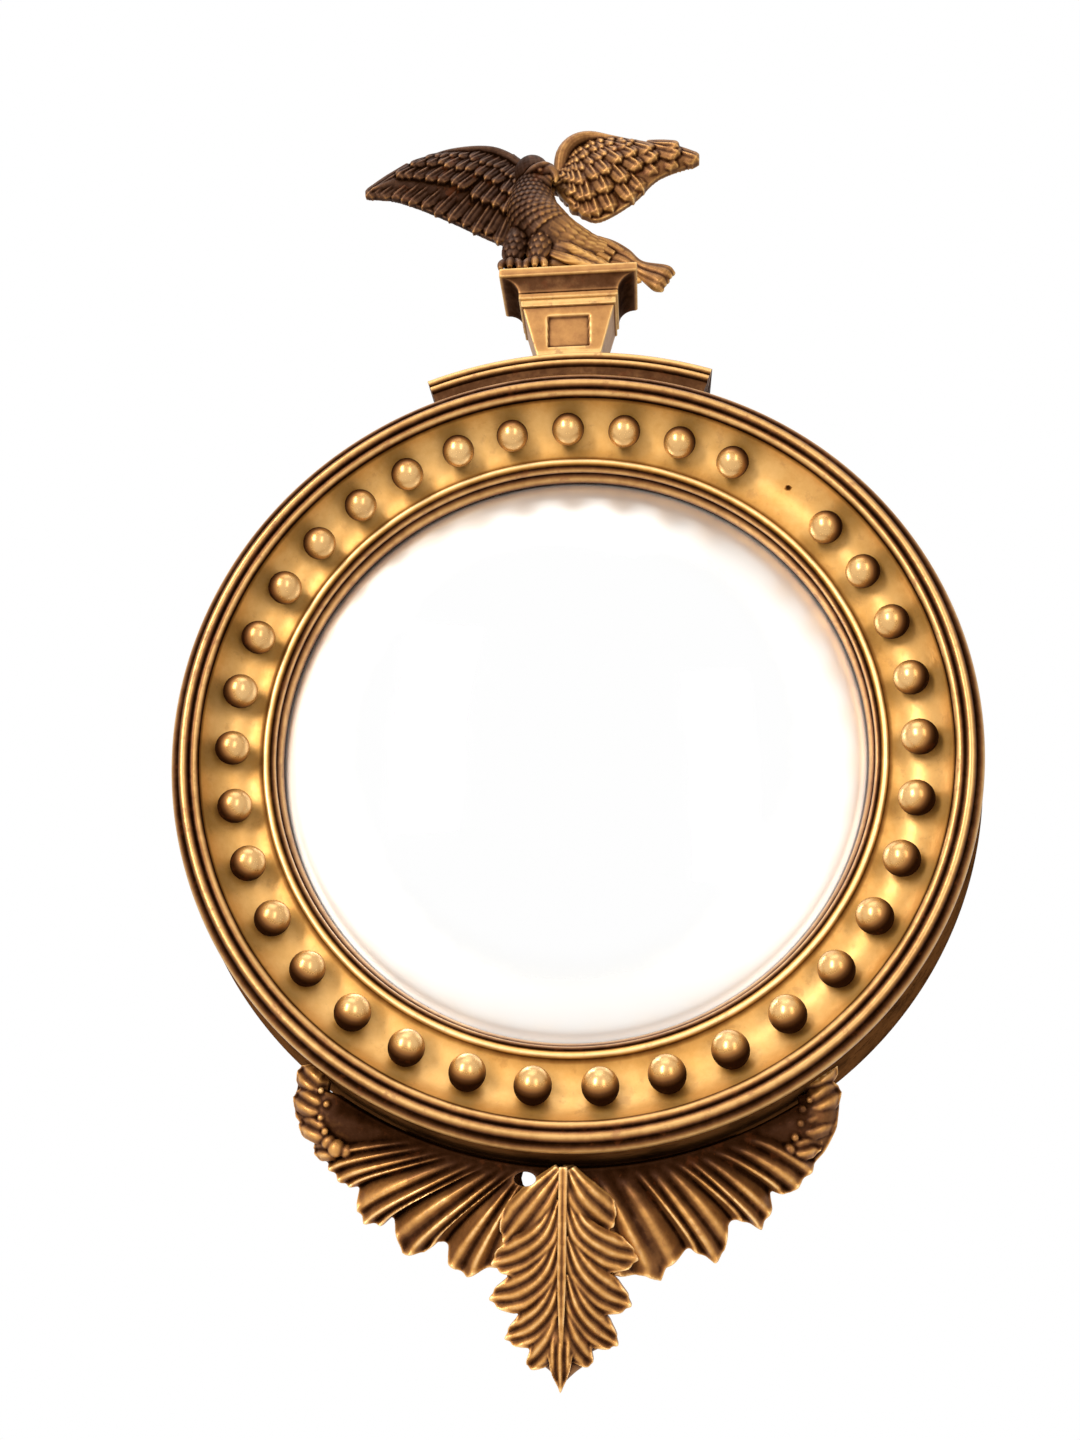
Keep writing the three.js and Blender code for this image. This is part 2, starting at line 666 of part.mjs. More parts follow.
function plinthBody() {
  const neckHalf = PLINTH_TOP.half + NECK.out;
  const neckFront = PLINTH_TOP.front + NECK.out;
  const sunk = CREST_BAND + CREST_REED; // reaches down past the crown of the cresting, which cuts it
  const lean = (PLINTH_TOP.half - PLINTH_BASE.half) / PLINTH_TAPER;
  const leanFront = (PLINTH_TOP.front - PLINTH_BASE.front) / PLINTH_TAPER;
  const taper = solid(
    loft([
      rectangle(PLINTH_BASE.half - lean * sunk, PLINTH_BASE.front - leanFront * sunk, plinthBottom - sunk),
      rectangle(PLINTH_TOP.half, PLINTH_TOP.front, taperTop),
      rectangle(neckHalf, neckFront, taperTop),
      rectangle(neckHalf, neckFront, taperTop + NECK.height),
    ]),
  );
  const frontAt = (height) => PLINTH_BASE.front + leanFront * height;
  const panel = solid(
    loft(
      [PANEL.bottom, PANEL.top].map((height) => {
        const front = frontAt(height);
        const z = plinthBottom + height;
        return [
          new THREE.Vector3(-PANEL.half, -front + PANEL.depth, z),
          new THREE.Vector3(PANEL.half, -front + PANEL.depth, z),
          new THREE.Vector3(PANEL.half, -front - PAST, z),
          new THREE.Vector3(-PANEL.half, -front - PAST, z),
        ];
      }),
    ),
  );
  const sides = 8 * CREST_STEPS;
  const radius = (crestTop + FIT) / Math.cos(Math.PI / sides); // its flats clear the round crown
  const crown = new THREE.CylinderGeometry(radius, radius, 2 * CARCASS_FRONT, sides);
  return surface(taper.subtract(panel).subtract(solid(crown)));
}

function plinthCap() {
  const lipHalf = PLINTH_TOP.half + CAP_LIP.out;
  const lipFront = PLINTH_TOP.front + CAP_LIP.out;
  const coveBottom = capBottom + CAP_LIP.height;
  const slabBottom = coveBottom + CAP_COVE;
  const rings = [rectangle(lipHalf, lipFront, capBottom), rectangle(lipHalf, lipFront, coveBottom)];
  for (let k = 1; k <= CAP_STEPS; k++) {
    const angle = (Math.PI / 2) * (k / CAP_STEPS);
    const out = 1 - Math.cos(angle);
    rings.push(
      rectangle(
        lipHalf + (capHalf - CAP_FILLET - lipHalf) * out,
        lipFront + (capFront - CAP_FILLET - lipFront) * out,
        coveBottom + CAP_COVE * Math.sin(angle) * 0.999,
      ),
    );
  }
  rings.push(rectangle(capHalf, capFront, slabBottom), rectangle(capHalf, capFront, capTop));
  return loft(rings);
}

// ---------------------------------------------------------------- eagle

const eaglePoint = ([x, forward, height]) => new THREE.Vector3(x, -forward, perch + height);

// Rings of a round body along a path of [x, forward, height, radius].
function roundBody(path, sides, grow = 0) {
  const centres = path.map(eaglePoint);
  return path.map(([, , , radius], k) => {
    const before = centres[Math.max(k - 1, 0)];
    const after = centres[Math.min(k + 1, centres.length - 1)];
    const along = after.clone().sub(before).normalize();
    const across = new THREE.Vector3(0, 1, 0).cross(along).normalize();
    const up = along.clone().cross(across);
    return Array.from({ length: sides }, (_, j) => {
      const angle = (2 * Math.PI * j) / sides;
      return centres[k]
        .clone()
        .addScaledVector(across, (radius + grow) * Math.cos(angle))
        .addScaledVector(up, (radius * 0.9 + grow) * Math.sin(angle));
    });
  });
}

// The beak springs from the head towards +X and hooks down.
function eagleBeak() {
  const [x, forward, height] = TRUNK.at(-3);
  const path = BEAK.map(([dx, df, dz, radius]) => [x + dx, forward + df, height + dz, radius]);
  return solid(loft(roundBody(path, 6)));
}

function eagleLeg(x, grow) {
  const path = LEG.map(([dx, df, height, radius]) => [x + dx, LEG_FORWARD + df, height, radius]);
  return solid(loft(roundBody(path, 8, grow)));
}

function eagleToe(x, turn) {
  const dx = Math.sin(radians(turn));
  const df = Math.cos(radians(turn));
  const path = TOE.map(([reach, height, radius]) => {
    return [x + dx * reach, LEG_FORWARD + df * reach, height, radius];
  });
  return solid(loft(roundBody(path, 6)));
}

const joined = (parts) => parts.reduce((made, piece) => made.add(piece));

// Trunk and legs, let out by grow where a neighbour is cut to fit them.
function eagleTrunk(grow = 0) {
  return joined([solid(loft(roundBody(TRUNK, TRUNK_SIDES, grow))), ...LEG_X.map((x) => eagleLeg(x, grow))]);
}

function eagleBody() {
  const toes = LEG_X.flatMap((x) => TOE_TURNS.map((turn) => eagleToe(x, turn)));
  const ground = solid(block(-2 * capHalf, 2 * capHalf, 0, 2 * capFront, capTop - CAP_SLAB, perch));
  return surface(joined([eagleTrunk(), eagleBeak(), ...toes]).subtract(ground));
}

const smooth = (points) => new THREE.CatmullRomCurve3(points, false, "centripetal");

// A carved blade between two edges: crowned and fluted in front, flat behind.
function blade({ lead, trail, steps, thick, crown, feathers, depth, across = 5 }) {
  const leading = smooth(lead);
  const trailing = smooth(trail);
  const forward = new THREE.Vector3(0, -1, 0);
  return Array.from({ length: steps + 1 }, (_, i) => {
    const t = i / steps;
    const head = leading.getPoint(t);
    const foot = trailing.getPoint(t);
    const phase = Math.abs(Math.sin(Math.PI * feathers * t));
    const taper = Math.min(1, 0.35 + 1.6 * t); // thin at the tip
    const span = foot.clone().sub(head);
    foot.addScaledVector(span.clone().normalize(), taper * depth * phase);
    const ring = [];
    for (let j = 0; j <= across; j++) {
      const s = j / across;
      const rise = crown * Math.sin(Math.PI * Math.min(1, s * 0.85 + 0.1)) + phase * FEATHER_RISE * s;
      ring.push(head.clone().lerp(foot, s).addScaledVector(forward, taper * (thick / 2 + rise)));
    }
    for (let j = 2; j >= 0; j--) {
      ring.push(head.clone().lerp(foot, j / 2).addScaledVector(forward, -taper * (thick / 2)));
    }
    return ring;
  });
}

function wing({ lead, trail, feathers }) {
  const made = solid(
    loft(
      blade({
        lead: lead.map(eaglePoint),
        trail: trail.map(eaglePoint),
        steps: WING_STEPS,
        thick: WING_THICK,
        crown: WING_CROWN,
        feathers,
        depth: FEATHER_DEPTH,
      }),
    ),
  );
  return made.subtract(eagleTrunk(FIT));
}

function eagleTail() {
  const made = solid(
    loft(
      blade({
        lead: TAIL.upper.map(eaglePoint),
        trail: TAIL.lower.map(eaglePoint),
        steps: TAIL_STEPS,
        thick: TAIL_THICK,
        crown: TAIL_CROWN,
        feathers: 0,
        depth: 0,
      }),
    ),
  );
  return made.subtract(eagleTrunk(FIT));
}

// ---------------------------------------------------------------- apron

// A point round the ring, by the angle from its lowest point towards the viewer's left or right.
function below(side, angle, radius, forward) {
  const turn = radians(angle);
  return new THREE.Vector3(side * radius * Math.sin(turn), -forward, -radius * Math.cos(turn));
}

function apronBlock() {
  const steps = 8;
  const inner = sideRadius(0) + FIT;
  const rings = Array.from({ length: steps + 1 }, (_, k) => {
    const angle = APRON_HALF_ANGLE * ((2 * k) / steps - 1);
    const front = APRON_BACK + APRON_THICK;
    return [
      below(1, angle, inner - PAST, APRON_BACK),
      below(1, angle, inner + APRON_DEPTH, APRON_BACK),
      below(1, angle, inner + APRON_DEPTH, front),
      below(1, angle, inner - PAST, front),
    ];
  });
  const hole = new THREE.CylinderGeometry(SIGHT_HOLE.radius, SIGHT_HOLE.radius, 4 * APRON_THICK, 12);
  hole.translate(SIGHT_HOLE.x, -APRON_THICK, -(carcassBack + SIGHT_HOLE.drop));
  return surface(solid(loft(rings)).subtract(ringSpace()).subtract(solid(hole)));
}

const leafBack = APRON_BACK + APRON_THICK + FIT;

function sideLeaf(side, outline) {
  const { crest, edge, root, flute, flutePitch, tuck, undercut } = SIDE_LEAF;
  const inner = carcassBack - tuck;
  const rings = outline.map(([angle, past]) => {
    const reach = carcassBack + past;
    const ripple = flute * Math.cos((2 * Math.PI * angle) / flutePitch);
    const front = [0, 0.25, 0.5, 0.75, 1].map((s) => {
      const swell = root + (edge - root) * s + (crest - edge) * Math.sin(Math.PI * s) * 0.9;
      return below(side, angle, inner + (reach - inner) * s, swell + ripple * Math.sin(Math.PI * s));
    });
    return [...front, below(side, angle, reach - undercut, leafBack), below(side, angle, inner, leafBack)];
  });
  return solid(loft(rings)).subtract(ringSpace());
}

// The pendant leaf, let out by grow where a neighbour is cut to fit it.
function centreLeaf(grow = 0) {
  const { crest, edge, tip, flute } = PENDANT;
  const [top, foot] = [CENTRE_LEAF[0][0], CENTRE_LEAF.at(-1)[0]];
  const rings = CENTRE_LEAF.map(([depth, left, right]) => {
    const t = (depth - top) / (foot - top);
    const ridge = crest + (tip - crest) * t ** 2 + grow;
    const rim = edge + (tip - edge) * t ** 3 + grow;
    const middle = (left + right) / 2;
    const half = (right - left) / 2 + grow;
    const low = leafBack - (grow > 0 ? APRON_THICK : 0);
    const z = -(carcassBack + top - grow + (depth - top) * ((foot - top + 2 * grow) / (foot - top)));
    const front = [-1, -0.75, -0.5, -0.25, 0, 0.25, 0.5, 0.75, 1].map((s) => {
      const ripple = s % 0.5 === 0 ? 0 : flute * Math.min(1, half / 40);
      return new THREE.Vector3(middle + half * s, -(ridge - (ridge - rim) * s ** 2 + ripple), z);
    });
    return [
      ...front,
      new THREE.Vector3(middle + half, -low, z),
      new THREE.Vector3(middle - half, -low, z),
    ];
  });
  return solid(loft(rings)).subtract(ringSpace());
}

// ---------------------------------------------------------------- assembly

add("carcass_ring", carcassRing(), OCHRE_PINE);
add("cove_moulding", coveMoulding(), GILT);
add("reeded_rim", reededRim(), GILT);
add("reeded_slip", reededSlip(), WORN_GILT);
add("mirror_glass", mirrorGlass(), SILVERED_GLASS);
add("glass_packing_ring", packingRing(), BARE_PINE);
add("backboard", backboard(), BARE_PINE);
boardScrewPlaces.forEach(([x, z], k) => {
  add(`backboard_screw_${k + 1}`, facingOut(intoBack(screw(BOARD_SCREW), x, z, 0)), IRON);
});

for (let place = 0; place < BALL_PLACES; place++) {
  if (place === EMPTY_PLACE) continue;
  const number = String(place + 1).padStart(2, "0");
  add(`ball_${number}`, facingOut(intoCove(ball(), place)), WORN_GILT);
}

add("crest_arch", crestArch(), GILT);
add("plinth_body", plinthBody(), GILT);
add("plinth_cap", plinthCap(), GILT);
add("eagle_body", eagleBody(), DARK_GILT);
add("eagle_wing_left", surface(wing(LEFT_WING)), DARK_GILT);
add("eagle_wing_right", surface(wing(RIGHT_WING)), WORN_GILT);
add("eagle_tail", surface(eagleTail()), WORN_GILT);

const pendant = centreLeaf(FIT);
add("apron_block", apronBlock(), OCHRE_PINE);
add("leaf_left", surface(sideLeaf(-1, LEFT_LEAF).subtract(pendant)), GILT);
add("leaf_right", surface(sideLeaf(1, RIGHT_LEAF).subtract(pendant)), GILT);
add("leaf_centre", surface(centreLeaf()), GILT);

add("hanger_plate", hangerPlate(), BRASS);
hangerScrewPlaces.forEach(([x, z], k) => {
  add(`hanger_screw_${k + 1}`, facingOut(intoBack(screw(HANGER_SCREW), x, z, plateBack)), IRON);
});
const ring = add("hanger_ring", closedLoop(hangerRing()), BRASS);
ring.position.set(0, -HANGER_PIVOT.forward, pivotHeight);

const mirror = new THREE.Group();
mirror.add(...meshes);

export default mirror;
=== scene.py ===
"""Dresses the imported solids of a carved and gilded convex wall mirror.

Sizes in this file are millimetres until a mesh is made, which is where they become metres.
"Forward" is the distance from the wall towards the room, so y = -forward, and +Z is up.
"""
import logging
import math
from dataclasses import dataclass, field
from enum import Enum
from typing import Callable, Iterable, Sequence

import bmesh
import bpy
import numpy as np
from mathutils import Euler, Matrix, Vector


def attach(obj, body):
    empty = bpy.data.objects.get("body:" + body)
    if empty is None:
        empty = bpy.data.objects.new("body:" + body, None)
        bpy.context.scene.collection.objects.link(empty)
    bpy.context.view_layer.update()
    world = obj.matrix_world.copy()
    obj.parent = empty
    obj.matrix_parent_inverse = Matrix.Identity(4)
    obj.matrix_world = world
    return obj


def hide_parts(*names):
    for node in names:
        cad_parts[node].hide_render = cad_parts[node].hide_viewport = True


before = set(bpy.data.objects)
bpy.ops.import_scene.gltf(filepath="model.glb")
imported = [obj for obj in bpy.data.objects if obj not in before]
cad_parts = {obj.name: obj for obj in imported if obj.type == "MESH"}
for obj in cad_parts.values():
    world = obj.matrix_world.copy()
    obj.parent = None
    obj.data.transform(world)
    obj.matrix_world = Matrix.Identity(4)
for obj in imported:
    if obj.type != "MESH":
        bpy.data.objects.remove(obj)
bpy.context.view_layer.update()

log = logging.getLogger("mirror")

MM = 0.001
FIT = 0.3
FRAME_BODY = "frame"
RING_BODY = "hanging_ring"
WEAR_AND_SHADE = "wear_and_shade"  # per-point wear and painted light: 0 in a hollow, with dirt and painted shade, 0.5 on the field, 1 on a rubbed ridge with a painted highlight

Triple = tuple[float, float, float]
Pair = tuple[float, float]
Rings = list[list[Triple]]


class Slot(Enum):
    """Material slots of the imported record."""

    GILT = "gilt"
    GILT_WORN = "gilt_worn"
    GILT_DARK = "gilt_dark"
    OCHRE_WOOD = "ochre_wood"
    BARE_WOOD = "bare_wood"
    SILVERED_GLASS = "silvered_glass"
    IRON = "iron"
    BRASS = "brass"


# ---------------------------------------------------------------- colours and shader nodes


def linear(hex_colour: str) -> tuple[float, float, float, float]:
    """Turns an sRGB colour into Blender's linear one.

    Args:
        hex_colour: six hexadecimal digits.
    Returns:
        Linear red, green, blue and an alpha of 1.
    """
    def channel(value: float) -> float:
        """Linear light of one sRGB channel."""
        return value / 12.92 if value <= 0.04045 else ((value + 0.055) / 1.055) ** 2.4

    red, green, blue = (channel(int(hex_colour[k:k + 2], 16) / 255) for k in (0, 2, 4))
    return red, green, blue, 1.0


class Shader:
    """A node material under construction, with short ways to add its usual nodes."""

    def __init__(self, name: str) -> None:
        """Starts an empty node tree with an output."""
        self.material = bpy.data.materials.new(name)
        self.material.use_nodes = True
        self.tree = self.material.node_tree
        self.tree.nodes.clear()
        self.output = self.add("ShaderNodeOutputMaterial")
        self.place = self.add("ShaderNodeTexCoord").outputs["Object"]

    def add(self, kind: str, inputs: dict | None = None, **settings: object) -> bpy.types.Node:
        """Adds a node.

        Args:
            kind: Blender's name of the node type.
            inputs: values or sockets by input name or index.
            settings: attributes set on the node.
        Returns:
            The new node.
        """
        node = self.tree.nodes.new(kind)
        for key, value in settings.items():
            setattr(node, key, value)
        for key, value in (inputs or {}).items():
            if isinstance(value, bpy.types.NodeSocket):
                self.tree.links.new(value, node.inputs[key])
            else:
                node.inputs[key].default_value = value
        return node

    def noise(self, size: float, detail: float = 3.0, rough: float = 0.55,
              stretch: Triple = (1, 1, 1)) -> bpy.types.NodeSocket:
        """Cloudy pattern whose features are about size millimetres across.

        Args:
            size: feature size in millimetres.
            detail: octaves of finer pattern.
            rough: strength of those octaves.
            stretch: how many times longer the features are along each axis.
        Returns:
            The factor socket.
        """
        mapped = self.add("ShaderNodeMapping", {"Vector": self.place, "Scale": [1 / s for s in stretch]})
        return self.add("ShaderNodeTexNoise", {
            "Vector": mapped.outputs[0], "Scale": 1 / (size * MM), "Detail": detail, "Roughness": rough,
        }).outputs["Fac"]

    def maths(self, operation: str, a: object, b: object = 0.0, clamp: bool = False) -> bpy.types.NodeSocket:
        """One step of arithmetic on sockets or numbers."""
        return self.add("ShaderNodeMath", {0: a, 1: b}, operation=operation, use_clamp=clamp).outputs[0]

    def around_zero(self, value: bpy.types.NodeSocket, share: float) -> bpy.types.NodeSocket:
        """A 0 to 1 pattern centred on zero and scaled to a share."""
        return self.maths("MULTIPLY", self.maths("SUBTRACT", value, 0.5), share)

    def spread(self, value: object, low: float, high: float, to_low: float = 0.0,
               to_high: float = 1.0) -> bpy.types.NodeSocket:
        """Maps low..high smoothly onto to_low..to_high and clamps it."""
        return self.add("ShaderNodeMapRange", {
            "Value": value, "From Min": low, "From Max": high, "To Min": to_low, "To Max": to_high,
        }, interpolation_type="SMOOTHSTEP").outputs[0]

    def ramp(self, value: bpy.types.NodeSocket, stops: Sequence[tuple[float, str]]) -> bpy.types.NodeSocket:
        """Colours by value along named stops.

        Args:
            value: factor socket.
            stops: position and sRGB colour pairs, in rising order.
        Returns:
            The colour socket.
        """
        node = self.add("ShaderNodeValToRGB", {"Fac": value})
        elements = node.color_ramp.elements
        while len(elements) < len(stops):
            elements.new(0.5)
        for element, (position, colour) in zip(elements, stops):
            element.position = position
            element.color = linear(colour)
        return node.outputs["Color"]

    def blend(self, share: object, below: object, above: object) -> bpy.types.NodeSocket:
        """Mixes two colours."""
        node = self.add("ShaderNodeMix", data_type="RGBA")
        for index, value in ((0, share), (6, below), (7, above)):
            if isinstance(value, bpy.types.NodeSocket):
                self.tree.links.new(value, node.inputs[index])
            else:
                node.inputs[index].default_value = value
        return node.outputs[2]

    def bump(self, height: bpy.types.NodeSocket, depth: float, strength: float = 1.0,
             under: bpy.types.NodeSocket | None = None) -> bpy.types.NodeSocket:
        """Surface relief of a depth in millimetres, over an earlier relief if one is given."""
        node = self.add("ShaderNodeBump", {"Height": height, "Distance": depth * MM, "Strength": strength})
        if under is not None:
            self.tree.links.new(under, node.inputs["Normal"])
        return node.outputs["Normal"]

    def attribute(self, name: str) -> bpy.types.NodeSocket:
        """Reads a per-point value of the mesh."""
        return self.add("ShaderNodeAttribute", attribute_name=name).outputs["Fac"]

    def principled(self, inputs: dict) -> bpy.types.Material:
        """Ends the tree in one surface shader.

        Args:
            inputs: values or sockets for the shader.
        Returns:
            The finished material.
        """
        shader = self.add("ShaderNodeBsdfPrincipled", inputs)
        self.tree.links.new(shader.outputs[0], self.output.inputs["Surface"])
        return self.material


# ---------------------------------------------------------------- finishes


@dataclass(frozen=True)
class Gilding:
    """Gold leaf laid over clay and gesso on carved wood, then rubbed and toned.

    The leaf is brightest where hands and dusters have burnished the ridges, with a painted highlight there. Toning
    size, a century of dirt and painted shade lie in the hollows, and the clay shows through where the leaf is gone.
    """

    name: str
    crest: str
    bright: str
    body: str
    toned: str
    hollow: str
    clay: str = "7c3f1f"
    shine: float = 0.6
    roughness: float = 0.34
    clay_share: float = 0.5
    cloud_share: float = 0.30
    mottle_share: float = 0.28
    speck_share: float = 0.3
    gesso_depth: float = 0.35
    grain_depth: float = 0.12

    def material(self) -> bpy.types.Material:
        """Builds the gilded finish.

        Returns:
            The material.
        """
        s = Shader(self.name)
        wear_and_shade = s.attribute(WEAR_AND_SHADE)
        cloud = s.noise(62, 3)
        mottle = s.noise(7.5, 5, 0.62)
        grain = s.noise(1.3, 2)
        level = s.maths("ADD", wear_and_shade, s.around_zero(cloud, self.cloud_share))
        level = s.maths("ADD", level, s.around_zero(mottle, self.mottle_share), clamp=True)
        gold = s.ramp(level, [
            (0.06, self.hollow), (0.30, self.toned), (0.52, self.body), (0.74, self.bright), (0.95, self.crest),
        ])
        rubbed = s.maths("MULTIPLY", s.spread(s.noise(13, 6, 0.68), 0.56, 0.66),
                         s.spread(wear_and_shade, 0.45, 0.9, 0.15, self.clay_share))
        speck = s.maths("MULTIPLY", s.spread(s.noise(2.4, 3, 0.6), 0.66, 0.74), self.speck_share)
        bare = s.maths("MAXIMUM", rubbed, speck)
        colour = s.blend(bare, gold, linear(self.clay))
        clean = s.spread(level, 0.1, 0.6)
        metallic = s.maths("MULTIPLY", s.maths("SUBTRACT", 1.0, bare), s.spread(clean, 0, 1, 0.35 * self.shine, self.shine))
        rough = s.maths("ADD", s.spread(level, 0.1, 0.85, self.roughness + 0.22, self.roughness),
                        s.around_zero(grain, 0.14))
        relief = s.bump(s.noise(5.5, 4, 0.6), self.gesso_depth, 0.5)
        relief = s.bump(grain, self.grain_depth, 0.35, relief)
        varnish = s.spread(level, 0.1, 0.75, 0.0, 0.4)
        return s.principled({"Base Color": colour, "Metallic": metallic, "Roughness": rough, "Normal": relief,
                             "Specular IOR Level": varnish})


@dataclass(frozen=True)
class WashedPine:
    """Pine, sawn and planed, bare or washed with thin ochre size, darkened by handling and soot."""

    name: str
    pale: str
    dark: str
    soot: str
    along: Triple = (9, 1, 1)
    roughness: float = 0.7

    def material(self) -> bpy.types.Material:
        """Builds the wood finish.

        Returns:
            The material.
        """
        s = Shader(self.name)
        fibre = s.noise(2.2, 4, 0.6, self.along)
        ring = s.noise(16, 2, 0.5, self.along)
        dirt = s.noise(45, 4, 0.6)
        tone = s.maths("ADD", s.maths("MULTIPLY", fibre, 0.55), s.maths("MULTIPLY", ring, 0.45))
        wood = s.ramp(tone, [(0.34, self.dark), (0.5, self.pale), (0.68, self.pale)])
        colour = s.blend(s.spread(dirt, 0.48, 0.7, 0.0, 0.65), wood, linear(self.soot))
        rough = s.maths("ADD", self.roughness, s.around_zero(fibre, 0.2))
        relief = s.bump(fibre, 0.35, 0.6)
        return s.principled({"Base Color": colour, "Roughness": rough, "Normal": relief, "Specular IOR Level": 0.0})


@dataclass(frozen=True)
class SilveredGlass:
    """Convex plate glass, tin and mercury silvered behind, a little bloomed at its edge."""

    name: str = "silvered_plate"
    silver: str = "fefefe"
    bloom: str = "fbfaf7"
    edge: float = 226.0

    def material(self) -> bpy.types.Material:
        """Builds the mirror finish.

        Returns:
            The material.
        """
        s = Shader(self.name)
        split = s.add("ShaderNodeSeparateXYZ", {0: s.place})
        across = s.add("ShaderNodeCombineXYZ", {0: split.outputs[0], 1: split.outputs[2]})
        radius = s.add("ShaderNodeVectorMath", {0: across.outputs[0]}, operation="LENGTH").outputs["Value"]
        ragged = s.maths("ADD", radius, s.around_zero(s.noise(9, 4), 9 * MM))
        bloomed = s.spread(ragged, (self.edge - 66) * MM, (self.edge - 26) * MM)
        colour = s.blend(bloomed, linear(self.silver), linear(self.bloom))
        rough = s.maths("ADD", s.spread(s.noise(30, 3), 0.3, 0.8, 0.012, 0.03), s.maths("MULTIPLY", bloomed, 0.36))
        relief = s.bump(s.noise(70, 2), 0.12, 0.3)
        return s.principled({"Base Color": colour, "Metallic": 1.0, "Roughness": rough, "Normal": relief})


@dataclass(frozen=True)
class OldMetal:
    """Forged or cast metal, polished by wear on its edges and dull or rusted in its hollows."""

    name: str
    bright: str
    dull: str
    crust: str
    roughness: float = 0.4
    shine: float = 0.95

    def material(self) -> bpy.types.Material:
        """Builds the metal finish.

        Returns:
            The material.
        """
        s = Shader(self.name)
        patch = s.noise(3.5, 5, 0.65)
        scratch = s.noise(0.9, 3, 0.6, (1, 1, 7))
        base = s.ramp(s.noise(6, 4), [(0.35, self.dull), (0.62, self.bright)])
        rust = s.spread(patch, 0.55, 0.68)
        colour = s.blend(rust, base, linear(self.crust))
        metallic = s.spread(rust, 0, 1, self.shine, 0.15)
        rough = s.maths("ADD", s.spread(rust, 0, 1, self.roughness, 0.8), s.around_zero(scratch, 0.15))
        relief = s.bump(s.maths("ADD", scratch, patch), 0.12, 0.5)
        return s.principled({"Base Color": colour, "Metallic": metallic, "Roughness": rough, "Normal": relief})


@dataclass(frozen=True)
class Finishes:
    """Every finish of the mirror, each named for what it is and how it was made."""

    # water gilding of the hollow, broad and even, burnished by light only
    cove: Gilding = Gilding("cove_water_gilding", "f6d9a4", "e5b670", "ca954c", "8f5f2a", "42250c",
                            shine=0.5, roughness=0.36, clay_share=0.25, mottle_share=0.18, speck_share=0.15, gesso_depth=0.25)
    # reeds: burnished crests with painted highlights, over grooves dark with dirt and painted shade
    reeds: Gilding = Gilding("reed_burnished_gilding", "cb9e61", "9b6c37", "714620", "3e220e", "180902",
                             shine=0.5, roughness=0.34, clay_share=0.45, speck_share=0.15)
    # balls: turned, bole gilded, rosier where the leaf has thinned
    balls: Gilding = Gilding("ball_rubbed_gilding", "e2bc82", "c29150", "956331", "553317", "251106",
                             shine=0.5, roughness=0.25, clay_share=0.12, cloud_share=0.2, mottle_share=0.05,
                             speck_share=0.0, gesso_depth=0.03, grain_depth=0.0)
    # architectural gilding of the cresting and the plinth
    cresting: Gilding = Gilding("cresting_toned_gilding", "dab070", "b58347", "875b30", "4d2e16", "1d0c04",
                                shine=0.4, roughness=0.42)
    # eagle: the same leaf under a thick brown varnish
    eagle: Gilding = Gilding("eagle_varnished_gilding", "cc9a54", "8a5c28", "4d2d12", "2b1608", "100602",
                             shine=0.3, roughness=0.42, clay_share=0.2, speck_share=0.15, gesso_depth=0.5)
    # wing and tail on the lit side, where the varnish has worn through
    wing: Gilding = Gilding("wing_rubbed_gilding", "e6be7c", "b07f42", "734b22", "41240f", "190a03",
                            shine=0.45, roughness=0.38, clay_share=0.35, gesso_depth=0.45)
    # leaves: deep carving, bright arrises with painted highlights, and eyes almost black with painted shade
    leaves: Gilding = Gilding("leaf_carved_gilding", "f0c486", "c48c48", "7e5128", "3c200d", "140702",
                              shine=0.45, roughness=0.37, clay_share=0.4, speck_share=0.2, gesso_depth=0.45)
    side: WashedPine = WashedPine("ochre_washed_pine", "6a4424", "412611", "221107")
    board: WashedPine = WashedPine("bare_backboard_pine", "b48f5e", "8a6538", "5d452a", along=(1, 1, 10),
                                   roughness=0.8)
    glass: SilveredGlass = SilveredGlass()
    iron: OldMetal = OldMetal("forged_iron", "6a6764", "3f3c3a", "4a2a1a", roughness=0.45)
    brass: OldMetal = OldMetal("cast_brass", "c29b52", "8d6a33", "4f4a30", roughness=0.36)


# ---------------------------------------------------------------- meshes


def spot(x: float, forward: float, height: float) -> Triple:
    """A point in metres from millimetres across, forward and up."""
    return x * MM, -forward * MM, height * MM


def new_object(name: str, mesh: bpy.types.Mesh) -> bpy.types.Object:
    """Puts a mesh in the scene as an object at the origin."""
    made = bpy.data.objects.new(name, mesh)
    bpy.context.scene.collection.objects.link(made)
    return made


def mesh_object(name: str, points: Sequence[Triple], faces: Sequence[Sequence[int]],
                wear_and_shade: Sequence[float] | None = None) -> bpy.types.Object:
    """Makes a mesh object from points in metres.

    Args:
        name: object name.
        points: vertices.
        faces: vertex numbers of each face.
        wear_and_shade: wear and painted light per vertex, if known already.
    Returns:
        The new object.
    """
    mesh = bpy.data.meshes.new(name)
    mesh.from_pydata([tuple(p) for p in points], [], [list(f) for f in faces])
    if wear_and_shade is not None:
        mesh.attributes.new(WEAR_AND_SHADE, "FLOAT", "POINT").data.foreach_set("value", list(wear_and_shade))
    mesh.update()
    return new_object(name, mesh)


def face_out(made: bpy.types.Object) -> None:
    """Merges doubles and turns every face of a closed mesh outwards."""
    work = bmesh.new()
    work.from_mesh(made.data)
    bmesh.ops.remove_doubles(work, verts=work.verts, dist=1e-6)
    bmesh.ops.recalc_face_normals(work, faces=work.faces)
    if work.calc_volume(signed=True) < 0:
        bmesh.ops.reverse_faces(work, faces=work.faces)
    work.to_mesh(made.data)
    work.free()


def smooth(made: bpy.types.Object, sharp_angle: float = 40.0) -> None:
    """Shades a mesh smooth, with edges sharper than an angle kept crisp."""
    made.data.polygons.foreach_set("use_smooth", [True] * len(made.data.polygons))
    made.data.set_sharp_from_angle(angle=math.radians(sharp_angle))


